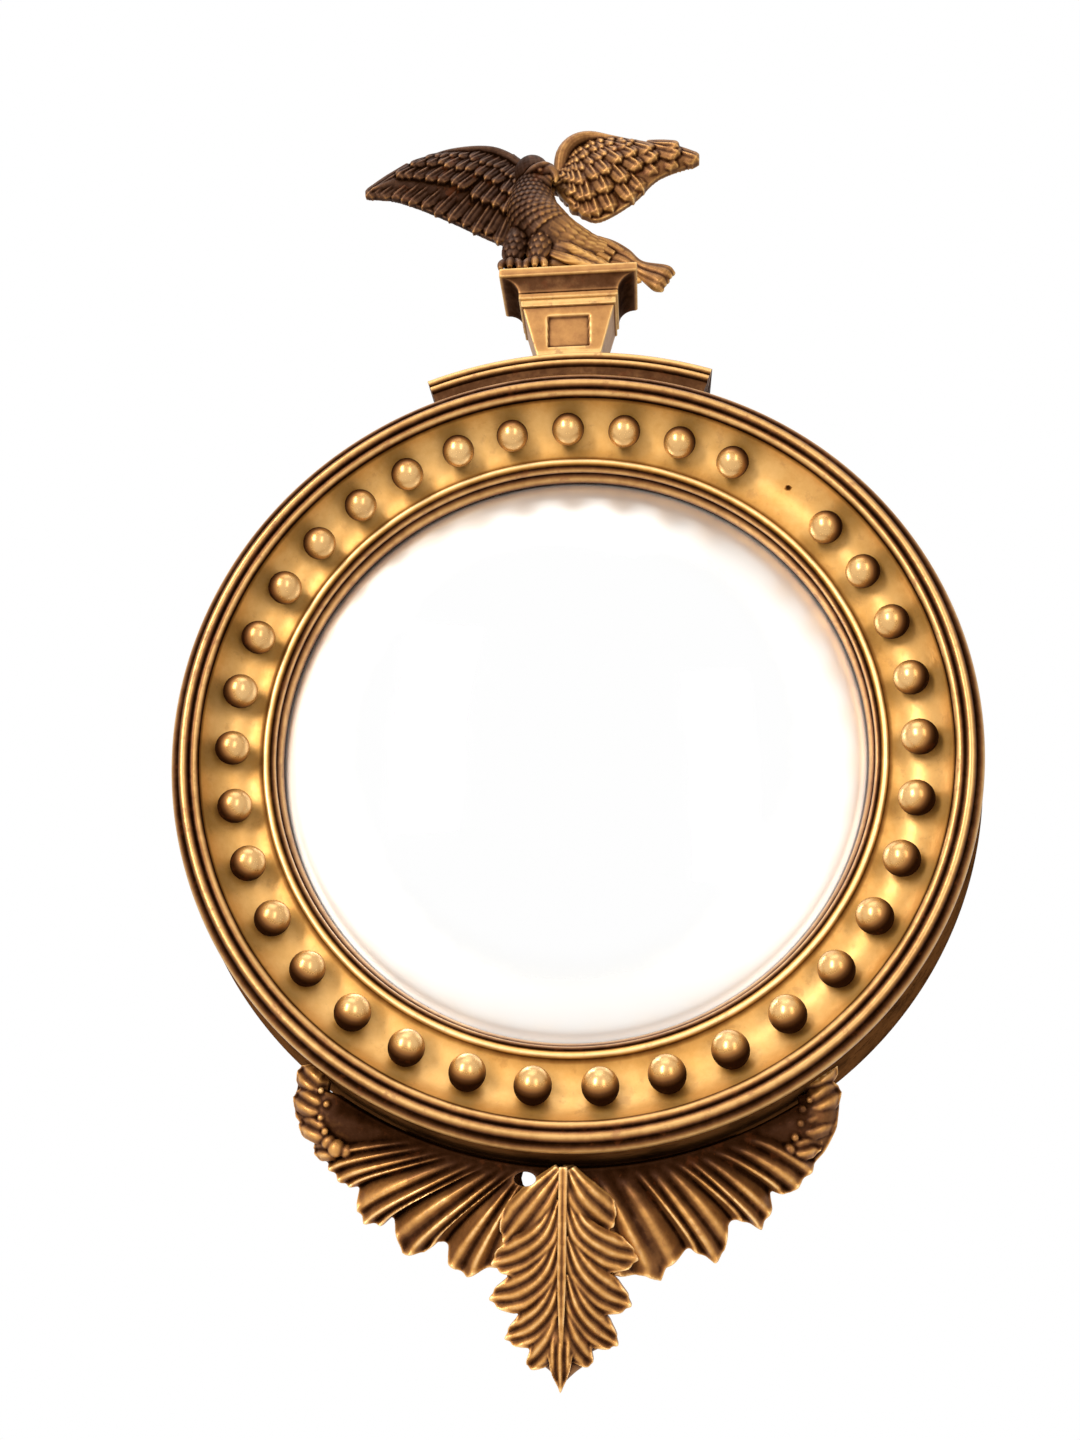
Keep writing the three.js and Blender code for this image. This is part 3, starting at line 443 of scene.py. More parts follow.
def evaluated_mesh(made: bpy.types.Object) -> bpy.types.Mesh:
    """The plain mesh that an object's modifiers give."""
    bpy.context.view_layer.update()
    graph = bpy.context.evaluated_depsgraph_get()
    return bpy.data.meshes.new_from_object(made.evaluated_get(graph), preserve_all_data_layers=True, depsgraph=graph)


def settle(made: bpy.types.Object) -> bpy.types.Object:
    """Bakes an object's modifiers into its mesh and takes them off."""
    mesh = evaluated_mesh(made)
    made.modifiers.clear()
    made.data = mesh
    return made


def discard(*objects: bpy.types.Object) -> None:
    """Removes helper objects."""
    for made in objects:
        bpy.data.objects.remove(made)


def cavity(mesh: bpy.types.Mesh, rounds: int, depth: float) -> np.ndarray:
    """Measures how far each point stands proud of its smoothed surroundings.

    Args:
        mesh: an even mesh.
        rounds: passes of smoothing, more for a broader surrounding.
        depth: millimetres that count as fully proud or fully sunk.
    Returns:
        One value per vertex, from -1 in a hollow to 1 on a ridge.
    """
    count = len(mesh.vertices)
    co = np.empty(count * 3)
    normal = np.empty(count * 3)
    mesh.vertices.foreach_get("co", co)
    mesh.vertices.foreach_get("normal", normal)
    co = co.reshape(-1, 3)
    ends = np.empty(len(mesh.edges) * 2, np.int64)
    mesh.edges.foreach_get("vertices", ends)
    a, b = ends.reshape(-1, 2).T
    valence = np.bincount(np.concatenate([a, b]), minlength=count).clip(1)[:, None]
    soft = co.copy()
    for _ in range(rounds):
        total = np.zeros_like(soft)
        for axis in range(3):
            total[:, axis] = np.bincount(a, soft[b, axis], count) + np.bincount(b, soft[a, axis], count)
        soft = 0.3 * soft + 0.7 * total / valence
    proud = ((co - soft) * normal.reshape(-1, 3)).sum(1) / (depth * MM)
    return np.clip(proud, -1, 1)


def wear_and_shade_by_relief(made: bpy.types.Object, fine: Pair = (4, 0.25), broad: Pair = (40, 1.6),
            middle: float = 0.5) -> None:
    """Writes the wear and painted light of a carved piece: bright on its ridges, rubbed and with a painted highlight,
    and dark in its hollows, with dirt and painted shade.

    Args:
        made: the piece.
        fine: smoothing passes and depth of the narrow ridges.
        broad: smoothing passes and depth of the large forms.
        middle: wear of a plain face.
    """
    value = middle + 0.30 * cavity(made.data, *fine) + 0.28 * cavity(made.data, *broad)
    layer = made.data.attributes.get(WEAR_AND_SHADE) or made.data.attributes.new(WEAR_AND_SHADE, "FLOAT", "POINT")
    layer.data.foreach_set("value", np.clip(value, 0, 1).astype(np.float32))


def loft(rings: Rings, closed: bool = True) -> tuple[list[Triple], list[list[int]]]:
    """Skins a run of closed rings of equal count.

    Args:
        rings: points of each ring.
        closed: whether both ends get a cap.
    Returns:
        Points and faces.
    """
    count = len(rings[0])
    points = [tuple(p) for ring in rings for p in ring]
    faces = []
    for i in range(len(rings) - 1):
        for j in range(count):
            k = (j + 1) % count
            faces.append([i * count + j, i * count + k, (i + 1) * count + k, (i + 1) * count + j])
    if closed:
        for start in (0, (len(rings) - 1) * count):
            middle = len(points)
            points.append(tuple(np.mean(points[start:start + count], axis=0)))
            faces += [[start + j, start + (j + 1) % count, middle] for j in range(count)]
    return points, faces


def through(points: Sequence[Sequence[float]], t: float) -> np.ndarray:
    """A point of the smooth curve through the given points.

    Args:
        points: control points of any number of coordinates.
        t: place along the curve, 0 to 1, even in control points.
    Returns:
        The coordinates there.
    """
    p = np.asarray(points, float)
    at = min(max(t, 0.0), 1.0) * (len(p) - 1)
    k = min(int(at), len(p) - 2)
    u = at - k
    before = p[k - 1] if k else 2 * p[0] - p[1]
    after = p[k + 2] if k + 2 < len(p) else 2 * p[-1] - p[-2]
    return 0.5 * (2 * p[k] + (p[k + 1] - before) * u + (2 * before - 5 * p[k] + 4 * p[k + 1] - after) * u * u
                  + (3 * p[k] - before - 3 * p[k + 1] + after) * u ** 3)


def even(points: Sequence[Sequence[float]], steps: int = 200) -> Callable[[float], np.ndarray]:
    """A smooth curve addressed by the share of its length."""
    dense = np.array([through(points, k / steps) for k in range(steps + 1)])
    run = np.concatenate([[0], np.cumsum(np.linalg.norm(np.diff(dense[:, :3], axis=0), axis=1))])
    run /= run[-1]

    def at(t: float | np.ndarray) -> np.ndarray:
        """The point, or points, at a share of the length."""
        return np.stack([np.interp(t, run, column) for column in dense.T], -1)

    return at


def unit(vector: np.ndarray) -> np.ndarray:
    """A vector of length one."""
    return vector / max(np.linalg.norm(vector), 1e-9)


def ease(value: float, low: float = 0.0, high: float = 1.0) -> float:
    """Smooth step from 0 below low to 1 above high."""
    t = min(max((value - low) / (high - low), 0.0), 1.0)
    return t * t * (3 - 2 * t)


# ---------------------------------------------------------------- Geometry Nodes


class Tree:
    """A Geometry Nodes tree with named inputs that ends in realized, finished geometry."""

    def __init__(self, name: str, inputs: dict[str, str]) -> None:
        """Starts the tree.

        Args:
            name: tree name.
            inputs: socket type by input name.
        """
        self.tree = bpy.data.node_groups.new(name, "GeometryNodeTree")
        for label, kind in inputs.items():
            self.tree.interface.new_socket(label, in_out="INPUT", socket_type=kind)
        self.tree.interface.new_socket("Finish", in_out="INPUT", socket_type="NodeSocketMaterial")
        self.tree.interface.new_socket("Geometry", in_out="OUTPUT", socket_type="NodeSocketGeometry")
        self.input = self.tree.nodes.new("NodeGroupInput").outputs

    def add(self, kind: str, inputs: dict | None = None, **settings: object) -> bpy.types.Node:
        """Adds a node; inputs are values or sockets by name or index."""
        node = self.tree.nodes.new(kind)
        for key, value in settings.items():
            setattr(node, key, value)
        for key, value in (inputs or {}).items():
            if isinstance(value, bpy.types.NodeSocket):
                self.tree.links.new(value, node.inputs[key])
            else:
                node.inputs[key].default_value = value
        return node

    def maths(self, operation: str, a: object, b: object = 0.0) -> bpy.types.NodeSocket:
        """One step of arithmetic."""
        return self.add("ShaderNodeMath", {0: a, 1: b}, operation=operation).outputs[0]

    def named(self, name: str, kind: str = "FLOAT_VECTOR") -> bpy.types.NodeSocket:
        """Reads a named attribute of the points."""
        return self.add("GeometryNodeInputNamedAttribute", {"Name": name}, data_type=kind).outputs["Attribute"]

    def close(self, geometry: bpy.types.NodeSocket) -> bpy.types.NodeTree:
        """Ends the tree in Realize Instances and Set Material."""
        real = self.add("GeometryNodeRealizeInstances", {0: geometry}).outputs[0]
        finished = self.add("GeometryNodeSetMaterial", {"Geometry": real, "Material": self.input["Finish"]})
        output = self.tree.nodes.new("NodeGroupOutput")
        self.tree.links.new(finished.outputs[0], output.inputs["Geometry"])
        return self.tree


def grown(name: str, tree: bpy.types.NodeTree, values: dict[str, object],
          start: bpy.types.Mesh | None = None) -> bpy.types.Object:
    """Runs a tree and keeps its result as a plain mesh object.

    Args:
        name: object name.
        tree: the Geometry Nodes tree.
        values: value of each named input.
        start: mesh that the tree starts from, if it has a geometry input.
    Returns:
        The object, with no modifier left on it.
    """
    made = new_object(name, start or bpy.data.meshes.new(name))
    modifier = made.modifiers.new("grow", "NODES")
    modifier.node_group = tree
    for item in tree.interface.items_tree:
        if item.item_type == "SOCKET" and item.in_out == "INPUT" and item.name in values:
            modifier[item.identifier] = values[item.name]
    return settle(made)


@dataclass
class Outline:
    """A closed moulding outline of radius, forward, and wear with painted light, drawn in the turner's plane."""

    points: list[Triple] = field(default_factory=list)

    def to(self, radius: float, forward: float, wear: float = 0.5) -> "Outline":
        """Adds a corner."""
        self.points.append((radius, forward, wear))
        return self

    def reed(self, end: Pair, rise: float, crest: float = 0.95, root: float = 0.04, steps: int = 12) -> "Outline":
        """Adds a round reed from the last point to end.

        Args:
            end: radius and forward of its far groove.
            rise: height over the line between its grooves.
            crest: wear and painted highlight on its top.
            root: wear and painted shade in its grooves.
            steps: segments of the curve.
        Returns:
            The outline itself.
        """
        r0, f0, _ = self.points[-1]
        r1, f1 = end
        length = math.hypot(r1 - r0, f1 - f0)
        out = (-(f1 - f0) / length, (r1 - r0) / length)
        self.points[-1] = (r0, f0, root)
        for k in range(1, steps + 1):
            t = k / steps
            angle = math.pi * t
            along = (1 - math.cos(angle)) / 2 * 0.45 + t * 0.55
            lift = rise * math.sin(angle) ** 0.8 if k < steps else 0.0
            # bright on the crest and dark in the grooves: rubbing and dirt, with a painted highlight on the crest and
            # painted shade in the grooves
            wear = root + (crest - root) * math.sin(angle) ** 1.7 if k < steps else root
            self.points.append((r0 + (r1 - r0) * along + out[0] * lift, f0 + (f1 - f0) * along + out[1] * lift, wear))
        return self

    def template(self, origin: float) -> bpy.types.Object:
        """The outline as a loop of edges for a tree to sweep, measured from a radius."""
        count = len(self.points)
        mesh = bpy.data.meshes.new("outline")
        mesh.from_pydata([((r - origin) * MM, -f * MM, 0) for r, f, _ in self.points],
                         [(k, (k + 1) % count) for k in range(count)], [])
        mesh.attributes.new(WEAR_AND_SHADE, "FLOAT", "POINT").data.foreach_set("value", [w for _, _, w in self.points])
        return new_object("outline", mesh)


class Lathe:
    """Sweeps outlines round the axis of the mirror with Geometry Nodes."""

    def __init__(self) -> None:
        """Builds the two trees: a full turn and a part of one."""
        self.full = self._tree("turned_moulding", False)
        self.part = self._tree("bent_moulding", True)

    @staticmethod
    def _tree(name: str, arc: bool) -> bpy.types.NodeTree:
        """Builds a sweep of an outline along a circle or an arc."""
        kinds = {"Outline": "NodeSocketObject", "Radius": "NodeSocketFloat", "Segments": "NodeSocketInt"}
        if arc:
            kinds |= {"Start": "NodeSocketFloat", "Sweep": "NodeSocketFloat"}
        t = Tree(name, kinds)
        if arc:
            path = t.add("GeometryNodeCurveArc", {
                "Resolution": t.input["Segments"], "Radius": t.input["Radius"],
                "Start Angle": t.input["Start"], "Sweep Angle": t.input["Sweep"]}, mode="RADIUS")
        else:
            path = t.add("GeometryNodeCurvePrimitiveCircle", {
                "Resolution": t.input["Segments"], "Radius": t.input["Radius"]}, mode="RADIUS")
        outline = t.add("GeometryNodeObjectInfo", {"Object": t.input["Outline"]}).outputs["Geometry"]
        section = t.add("GeometryNodeMeshToCurve", {0: outline}).outputs[0]
        swept = t.add("GeometryNodeCurveToMesh", {0: path.outputs[0], 1: section, "Fill Caps": arc}).outputs[0]
        stood = t.add("GeometryNodeTransform", {"Geometry": swept, "Rotation": (math.pi / 2, 0, 0)}).outputs[0]
        return t.close(stood)

    def turn(self, name: str, outline: Outline, finish: bpy.types.Material, segments: int = 420,
             arc: Pair | None = None, sharp_angle: float = 38.0) -> bpy.types.Object:
        """Turns an outline into a finished ring or a part of one.

        Args:
            name: object name.
            outline: closed outline.
            finish: material.
            segments: divisions round the ring.
            arc: start and sweep in degrees for a part ring.
            sharp_angle: edges sharper than this stay crisp.
        Returns:
            The piece.
        """
        radius = outline.points[0][0]
        template = outline.template(radius)
        values = {"Outline": template, "Radius": radius * MM, "Segments": segments, "Finish": finish}
        if arc:
            values |= {"Start": math.radians(arc[0]), "Sweep": math.radians(arc[1])}
        made = grown(name, self.part if arc else self.full, values)
        discard(template)
        face_out(made)
        smooth(made, sharp_angle)
        return made


# ---------------------------------------------------------------- the turned ring


@dataclass
class TurnedRing:
    """Carcass, cove with its bead, reeded rim and reeded slip, all turned round one axis."""

    sight: float = 231.0
    slip_back: float = 16.0
    slip_reeds: tuple[Triple, ...] = ((3.2, 12.5, 1.6), (2.1, 7.5, 1.8))  # outward, forward, rise
    slip_outer: float = 243.0
    cove_start: Pair = (242.5, 36.0)
    cove_end: Pair = (283.3, 64.0)
    cove_sag: float = 11.0
    cove_back: float = 28.0
    bead: float = 2.9
    rim_shoulder: float = 65.0
    rim_reeds: tuple[Triple, ...] = ((5.7, 69.5, 2.6), (13.9, 70.5, 3.7), (19.4, 62.0, 3.4))
    carcass_back: float = 320.0
    carcass_front: Pair = (304.3, 57.0)
    carcass_inner: float = 243.3
    rebate: Pair = (262.0, 6.3)
    pocket: tuple[float, float, float, float] = (20.0, 266.0, 306.0, 10.0)  # half width, foot, top, depth

    def arc(self) -> tuple[np.ndarray, float, float, float]:
        """Centre, radius, inward angle and half angle of the cove's hollow."""
        (r0, f0), (r1, f1) = self.cove_start, self.cove_end
        chord = math.hypot(r1 - r0, f1 - f0)
        radius = chord ** 2 / (8 * self.cove_sag) + self.cove_sag / 2
        out = np.array([-(f1 - f0), r1 - r0]) / chord
        centre = np.array([(r0 + r1) / 2, (f0 + f1) / 2]) + out * (radius - self.cove_sag)
        return centre, radius, math.atan2(-out[1], -out[0]), math.asin(chord / 2 / radius)

    def cove(self, lathe: Lathe, finish: bpy.types.Material, balls: "BallSet") -> bpy.types.Object:
        """Turns the cove and darkens it where the balls sit, with dirt and painted shade.

        Args:
            lathe: sweeps the outline.
            finish: material.
            balls: the balls whose dark rings of dirt and painted shade it carries.
        Returns:
            The cove moulding.
        """
        inner = self.cove_start[0] - 2 * self.bead
        outline = Outline().to(inner, self.cove_back, 0.3).to(inner, self.cove_start[1], 0.2)
        outline.reed(self.cove_start, self.bead, 0.9, 0.12, 10)
        centre, radius, inward, half = self.arc()
        steps = 30
        for k in range(1, steps + 1):
            t = 2 * k / steps - 1
            angle = inward + half * t
            # darker towards both edges of the hollow, at the bead and under the rim: dirt and painted shade in the
            # corners
            wear = 0.62 - 0.16 * abs(t) ** 3 - 0.34 * ease(abs(t), 0.86, 1.0)
            outline.to(centre[0] + radius * math.cos(angle), centre[1] + radius * math.sin(angle), wear)
        outline.to(self.cove_end[0], self.cove_back, 0.3)
        made = lathe.turn("cove_with_bead", outline, finish, 560)
        balls.drill_empty(made)
        balls.dirt_and_shade_round_balls(made)
        smooth(made)
        return made

    def rim(self, lathe: Lathe, finish: bpy.types.Material) -> bpy.types.Object:
        """Turns the three reeds outside the cove."""
        inner = self.cove_end[0] + FIT
        back = self.carcass_front[1] + FIT
        outline = Outline().to(inner, back, 0.2).to(inner, self.rim_shoulder, 0.1)
        for out, forward, rise in self.rim_reeds:
            outline.reed((inner + out, forward), rise)
        outline.to(inner + self.rim_reeds[-1][0], back, 0.2)
        return lathe.turn("reeded_rim_turned", outline, finish)

    def slip(self, lathe: Lathe, finish: bpy.types.Material) -> bpy.types.Object:
        """Turns the reeded slip that frames the glass."""
        r, f = self.sight, self.slip_back
        outline = Outline().to(r, f, 0.15)
        for out, rise_forward, rise in self.slip_reeds:
            r, f = r + out, f + rise_forward
            outline.reed((r, f), rise, 0.85, 0.08)
        wall = self.cove_start[0] - 2 * self.bead - FIT
        outline.to(wall, f, 0.1).to(wall, self.cove_back - FIT, 0.1)
        outline.to(self.slip_outer, self.cove_back - FIT, 0.2).to(self.slip_outer, self.slip_back, 0.2)
        return lathe.turn("reeded_slip_turned", outline, finish)

    def carcass(self, lathe: Lathe, finish: bpy.types.Material, holes: Iterable[bpy.types.Object]) -> bpy.types.Object:
        """Turns the pine carcass and cuts the hanger's pocket and the screw holes in its back.

        Args:
            lathe: sweeps the outline.
            finish: material.
            holes: closed cutters, used up here.
        Returns:
            The carcass.
        """
        inner = self.cove_end[0] + FIT
        floor = self.cove_back - FIT
        outline = Outline()
        for r, f in ((self.carcass_back, 0.0), (self.carcass_back - 0.25, 0.9), self.carcass_front, (inner, self.carcass_front[1]),
                     (inner, floor), (self.carcass_inner, floor), (self.carcass_inner, self.rebate[1]),
                     (self.rebate[0], self.rebate[1]), (self.rebate[0], 0.0)):
            outline.to(r, f, 0.45)
        made = lathe.turn("carcass_turned", outline, finish, 360)
        half, foot, top, depth = self.pocket
        cut(made, [block(-half, half, -5, depth, foot, top), *holes])
        smooth(made, 30)
        return made


def block(x0: float, x1: float, f0: float, f1: float, z0: float, z1: float) -> bpy.types.Object:
    """A plain cutter between two corners."""
    rings = [[spot(x0, f, z0), spot(x1, f, z0), spot(x1, f, z1), spot(x0, f, z1)] for f in (f0, f1)]
    made = mesh_object("cutter", *loft(rings))
    face_out(made)
    return made


def cut(made: bpy.types.Object, cutters: Iterable[bpy.types.Object]) -> None:
    """Cuts closed shapes out of a mesh, and uses them up."""
    for cutter in cutters:
        modifier = made.modifiers.new("cut", "BOOLEAN")
        modifier.operation = "DIFFERENCE"
        modifier.solver = "EXACT"
        modifier.object = cutter
        settle(made)
        discard(cutter)


# ---------------------------------------------------------------- balls


@dataclass
class BallSet:
    """Turned and gilded balls pinned into the cove at even places, one of them lost."""

    ring: TurnedRing
    places: int = 35
    empty: int = 4
    radius: float = 13.5
    pin: float = 1.5
    pin_length: float = 6.5
    pin_lean: float = 14.0
    size_spread: float = 0.03
    seed: int = 7

    def centre(self) -> np.ndarray:
        """Radius and forward of a ball's centre."""
        middle, radius, inward, _ = self.ring.arc()
        reach = radius - self.radius - FIT
        return middle + reach * np.array([math.cos(inward), math.sin(inward)])

    def pin_angle(self) -> float:
        """Direction of the pins in the turner's plane."""
        return self.ring.arc()[2] + math.radians(self.pin_lean)

    def _spindle(self, name: str, outline: Sequence[Pair], sides: int, wear_and_shade: Sequence[float]) -> bpy.types.Object:
        """Spins an outline of radius and length into the cove from the ball's centre."""
        angle = self.pin_angle()
        along = np.array([0, -math.sin(angle), math.cos(angle)])
        side = np.array([0, -math.cos(angle), -math.sin(angle)])
        rings = []
        for radius, reach in outline:
            ring = []
            for j in range(sides):
                a = 2 * math.pi * j / sides
                offset = along * reach + side * radius * math.cos(a) + np.array([1, 0, 0]) * radius * math.sin(a)
                ring.append(tuple(offset * MM))
            rings.append(ring)
        points, faces = loft(rings)
        values = [w for w in wear_and_shade for _ in range(sides)] + [wear_and_shade[0], wear_and_shade[-1]]
        made = mesh_object(name, points, faces, values)
        face_out(made)
        return made

    def template(self) -> bpy.types.Object:
        """One ball with its pin, centred on the ball."""
        rings, wear = [], []
        steps = 22
        shoulder = math.asin(self.pin / self.radius)
        for k in range(1, steps + 1):
            angle = (math.pi - shoulder) * k / steps
            rings.append((self.radius * math.sin(angle), -self.radius * math.cos(angle)))
            # bright on the face towards the room and dark round the sides and foot: dirt at the foot, and painted shade
            # round the ball's outline
            wear.append(0.84 - 0.82 * ease(k / steps, 0.2, 0.56))
        rings.append((self.pin, self.radius + self.pin_length))
        wear.append(0.1)
        return self._spindle("ball", rings, 32, wear)

    def _tree(self) -> bpy.types.NodeTree:
        """Builds the tree that sets the balls out round the ring."""
        t = Tree("balls_in_cove", {
            "Ball": "NodeSocketObject", "Places": "NodeSocketInt", "Empty": "NodeSocketInt",
            "Radius": "NodeSocketFloat", "Forward": "NodeSocketFloat", "Spread": "NodeSocketFloat",
            "Seed": "NodeSocketInt"})
        index = t.add("GeometryNodeInputIndex").outputs[0]
        turn = t.maths("DIVIDE", t.maths("MULTIPLY", index, math.tau), t.input["Places"])
        place = t.add("ShaderNodeCombineXYZ", {
            0: t.maths("MULTIPLY", t.maths("SINE", turn), t.input["Radius"]),
            1: t.maths("MULTIPLY", t.input["Forward"], -1.0),
            2: t.maths("MULTIPLY", t.maths("COSINE", turn), t.input["Radius"])}).outputs[0]
        facing = t.add("FunctionNodeEulerToRotation", {0: t.add("ShaderNodeCombineXYZ", {1: turn}).outputs[0]})
        lost = t.add("FunctionNodeCompare", {2: index, 3: t.input["Empty"]}, data_type="INT", operation="EQUAL")
        points = t.add("GeometryNodePoints", {"Count": t.input["Places"], "Position": place}).outputs[0]
        ball = t.add("GeometryNodeObjectInfo", {"Object": t.input["Ball"]}).outputs["Geometry"]
        chance = t.add("FunctionNodeRandomValue", {
            2: t.maths("SUBTRACT", 1.0, t.input["Spread"]), 3: 1.0, "Seed": t.input["Seed"]}, data_type="FLOAT")
        kept = t.add("FunctionNodeBooleanMath", {0: lost.outputs[0]}, operation="NOT").outputs[0]
        set_out = t.add("GeometryNodeInstanceOnPoints", {
            "Points": points, "Selection": kept, "Instance": ball, "Rotation": facing.outputs[0],
            "Scale": chance.outputs[1]})
        return t.close(set_out.outputs[0])

    def build(self, finish: bpy.types.Material) -> bpy.types.Object:
        """Sets every ball in its place.

        Args:
            finish: material.
        Returns:
            All the balls as one mesh.
        """
        template = self.template()
        radius, forward = self.centre()
        made = grown("gilt_balls", self._tree(), {
            "Ball": template, "Places": self.places, "Empty": self.empty, "Radius": radius * MM,
            "Forward": forward * MM, "Spread": self.size_spread, "Seed": self.seed, "Finish": finish})
        discard(template)
        smooth(made, 60)
        return made

    def drill_empty(self, cove: bpy.types.Object) -> None:
        """Leaves the open pin hole of the lost ball in the cove."""
        hole = self._spindle("hole", [(self.pin + 0.2, 0), (self.pin + 0.2, self.radius + self.pin_length)], 16, [0, 0])
        radius, forward = self.centre()
        turn = math.tau * self.empty / self.places
        moved = Matrix.Rotation(turn, 4, "Y") @ Matrix.Translation(Vector((0, -forward, radius)) * MM)
        hole.data.transform(moved)
        cut(cove, [hole])

    def dirt_and_shade_round_balls(self, cove: bpy.types.Object) -> None:
        """Darkens the cove in a ring round the foot of each ball: dirt, and painted shade where the ball shadows the
        hollow.
        """
        count = len(cove.data.vertices)
        co = np.empty(count * 3)
        cove.data.vertices.foreach_get("co", co)
        co = co.reshape(-1, 3) / MM
        layer = cove.data.attributes[WEAR_AND_SHADE].data
        wear = np.empty(count, np.float32)
        layer.foreach_get("value", wear)
        radius, forward = self.centre()
        for place in range(self.places):
            turn = math.tau * place / self.places
            middle = np.array([radius * math.sin(turn), -forward, radius * math.cos(turn)])
            gap = np.linalg.norm(co - middle, axis=1) - self.radius
            # the ring is mostly painted shade cast by each ball; the empty place keeps only a faint ring of dirt
            deep = 0.42 if place != self.empty else 0.06
            wear -= deep * np.exp(-((gap / 3.2) ** 2)).astype(np.float32)
        layer.foreach_set("value", np.clip(wear, 0, 1))


# ---------------------------------------------------------------- glass and back


@dataclass
class GlassAndBack:
    """The convex plate, its packing, the backboard, its screws and the hanger."""

    ring: TurnedRing
    glass_thick: float = 3.5
    dome: float = 36.0
    seat: float = 1.0
    shy: float = 1.5
    packing: Pair = (16.0, 5.6)
    board: float = 6.0
    board_screw_ring: float = 252.65
    board_screw: tuple[float, float, float, float] = (2.0, 4.2, 2.4, 18.0)  # shank, head, head depth, length
    hanger_screw: tuple[float, float, float, float] = (1.5, 2.6, 1.4, 9.0)
    hanger_screws: tuple[Pair, ...] = ((-11.0, 298.5), (11.0, 298.5))
    plate: tuple[float, float, float, float, float] = (16.0, 280.0, 304.0, 7.7, 2.0)  # half, foot, top, back, thick
    pivot: Pair = (285.0, 5.2)
    wire: float = 1.8
    loop: Pair = (11.0, 14.0)
    knuckle: Pair = (4.0, 1.4)

    def glass(self, lathe: Lathe, finish: bpy.types.Material) -> bpy.types.Object:
        """Blows the convex plate."""
        rim = self.ring.sight - self.seat
        front = self.ring.slip_back - FIT
        outer = self.ring.slip_outer - self.shy
        radius = (rim ** 2 + self.dome ** 2) / (2 * self.dome)
        half = math.asin(rim / radius)
        base = front + self.dome - radius
        outline = Outline().to(outer, front).to(outer, front - self.glass_thick)
        steps = 40
        for size, run in ((radius - self.glass_thick, range(steps, 0, -1)), (radius, range(1, steps + 1))):
            for k in run:
                angle = half * k / steps
                outline.to(size * math.sin(angle), base + size * math.cos(angle))
        made = lathe.turn("convex_plate", outline, finish, 256, sharp_angle=20)
        close_poles(made)
        return made

    def packing_ring(self, lathe: Lathe, finish: bpy.types.Material) -> bpy.types.Object:
        """Turns the ring that holds the plate in."""
        outer = self.ring.slip_outer - FIT
        inner = outer - self.packing[0]
        back = self.board + FIT
        outline = Outline().to(inner, back).to(outer, back).to(outer, back + self.packing[1]).to(inner, back + self.packing[1])
        return lathe.turn("packing_turned", outline, finish, 256)

    def backboard(self, lathe: Lathe, finish: bpy.types.Material, holes: Iterable[bpy.types.Object]) -> bpy.types.Object:
        """Turns the backboard, with eased edges and the two joints between its three boards."""
        radius = self.ring.rebate[0] - FIT
        outline = Outline().to(radius, 0.6).to(radius, self.board - 0.6).to(radius - 0.6, self.board).to(1.0, self.board)
        outline.to(1.0, 0).to(radius - 0.6, 0)
        made = lathe.turn("backboard_turned", outline, finish, 256)
        close_poles(made)
        grooves = [block(x - 0.5, x + 0.5, -1, 0.9, -radius - 5, radius + 5) for x in (-95.0, 70.0)]
        cut(made, [*grooves, *holes])
        smooth(made, 30)
        return made

    def screw_outline(self, size: tuple[float, float, float, float], gap: float = 0.0) -> list[Pair]:
        """Radius and depth of a countersunk screw, let out by a gap for its hole."""
        shank, head, head_depth, length = size
        if gap:
            return [(head + gap, -gap), (head + gap, 0), (shank + gap, head_depth + gap), (shank + gap, length + gap)]
        return [(head - 0.25, 0.0), (head, 0.2), (shank, head_depth), (shank, length * 0.85), (0.2, length)]

    def screw(self, size: tuple[float, float, float, float], gap: float = 0.0) -> bpy.types.Object:
        """A slotted screw, or its hole, with its head at the origin and its point forward."""
        sides = 20
        rings = [[spot(r * math.sin(math.tau * j / sides), f, r * math.cos(math.tau * j / sides)) for j in range(sides)]
                 for r, f in self.screw_outline(size, gap)]
        made = mesh_object("screw", *loft(rings))
        face_out(made)
        if not gap:
            head = size[1]
            cut(made, [block(-head * 1.2, head * 1.2, -1, head * 0.22, -head * 0.14, head * 0.14)])
        return made

    def board_places(self) -> list[Triple]:
        """Where the backboard's screws go: across, forward, up."""
        angles = [math.tau * (k + 0.5) / 4 for k in range(4)]
        return [(self.board_screw_ring * math.sin(a), 0.0, self.board_screw_ring * math.cos(a)) for a in angles]

    def hanger_places(self) -> list[Triple]:
        """Where the hanger's screws go."""
        return [(x, self.plate[3], z) for x, z in self.hanger_screws]

    def holes(self, size: tuple[float, float, float, float], places: Sequence[Triple]) -> list[bpy.types.Object]:
        """Cutters for screw holes."""
        made = []
        for x, f, z in places:
            hole = self.screw(size, FIT)
            hole.data.transform(Matrix.Translation(spot(x, f, z)))
            made.append(hole)
        return made

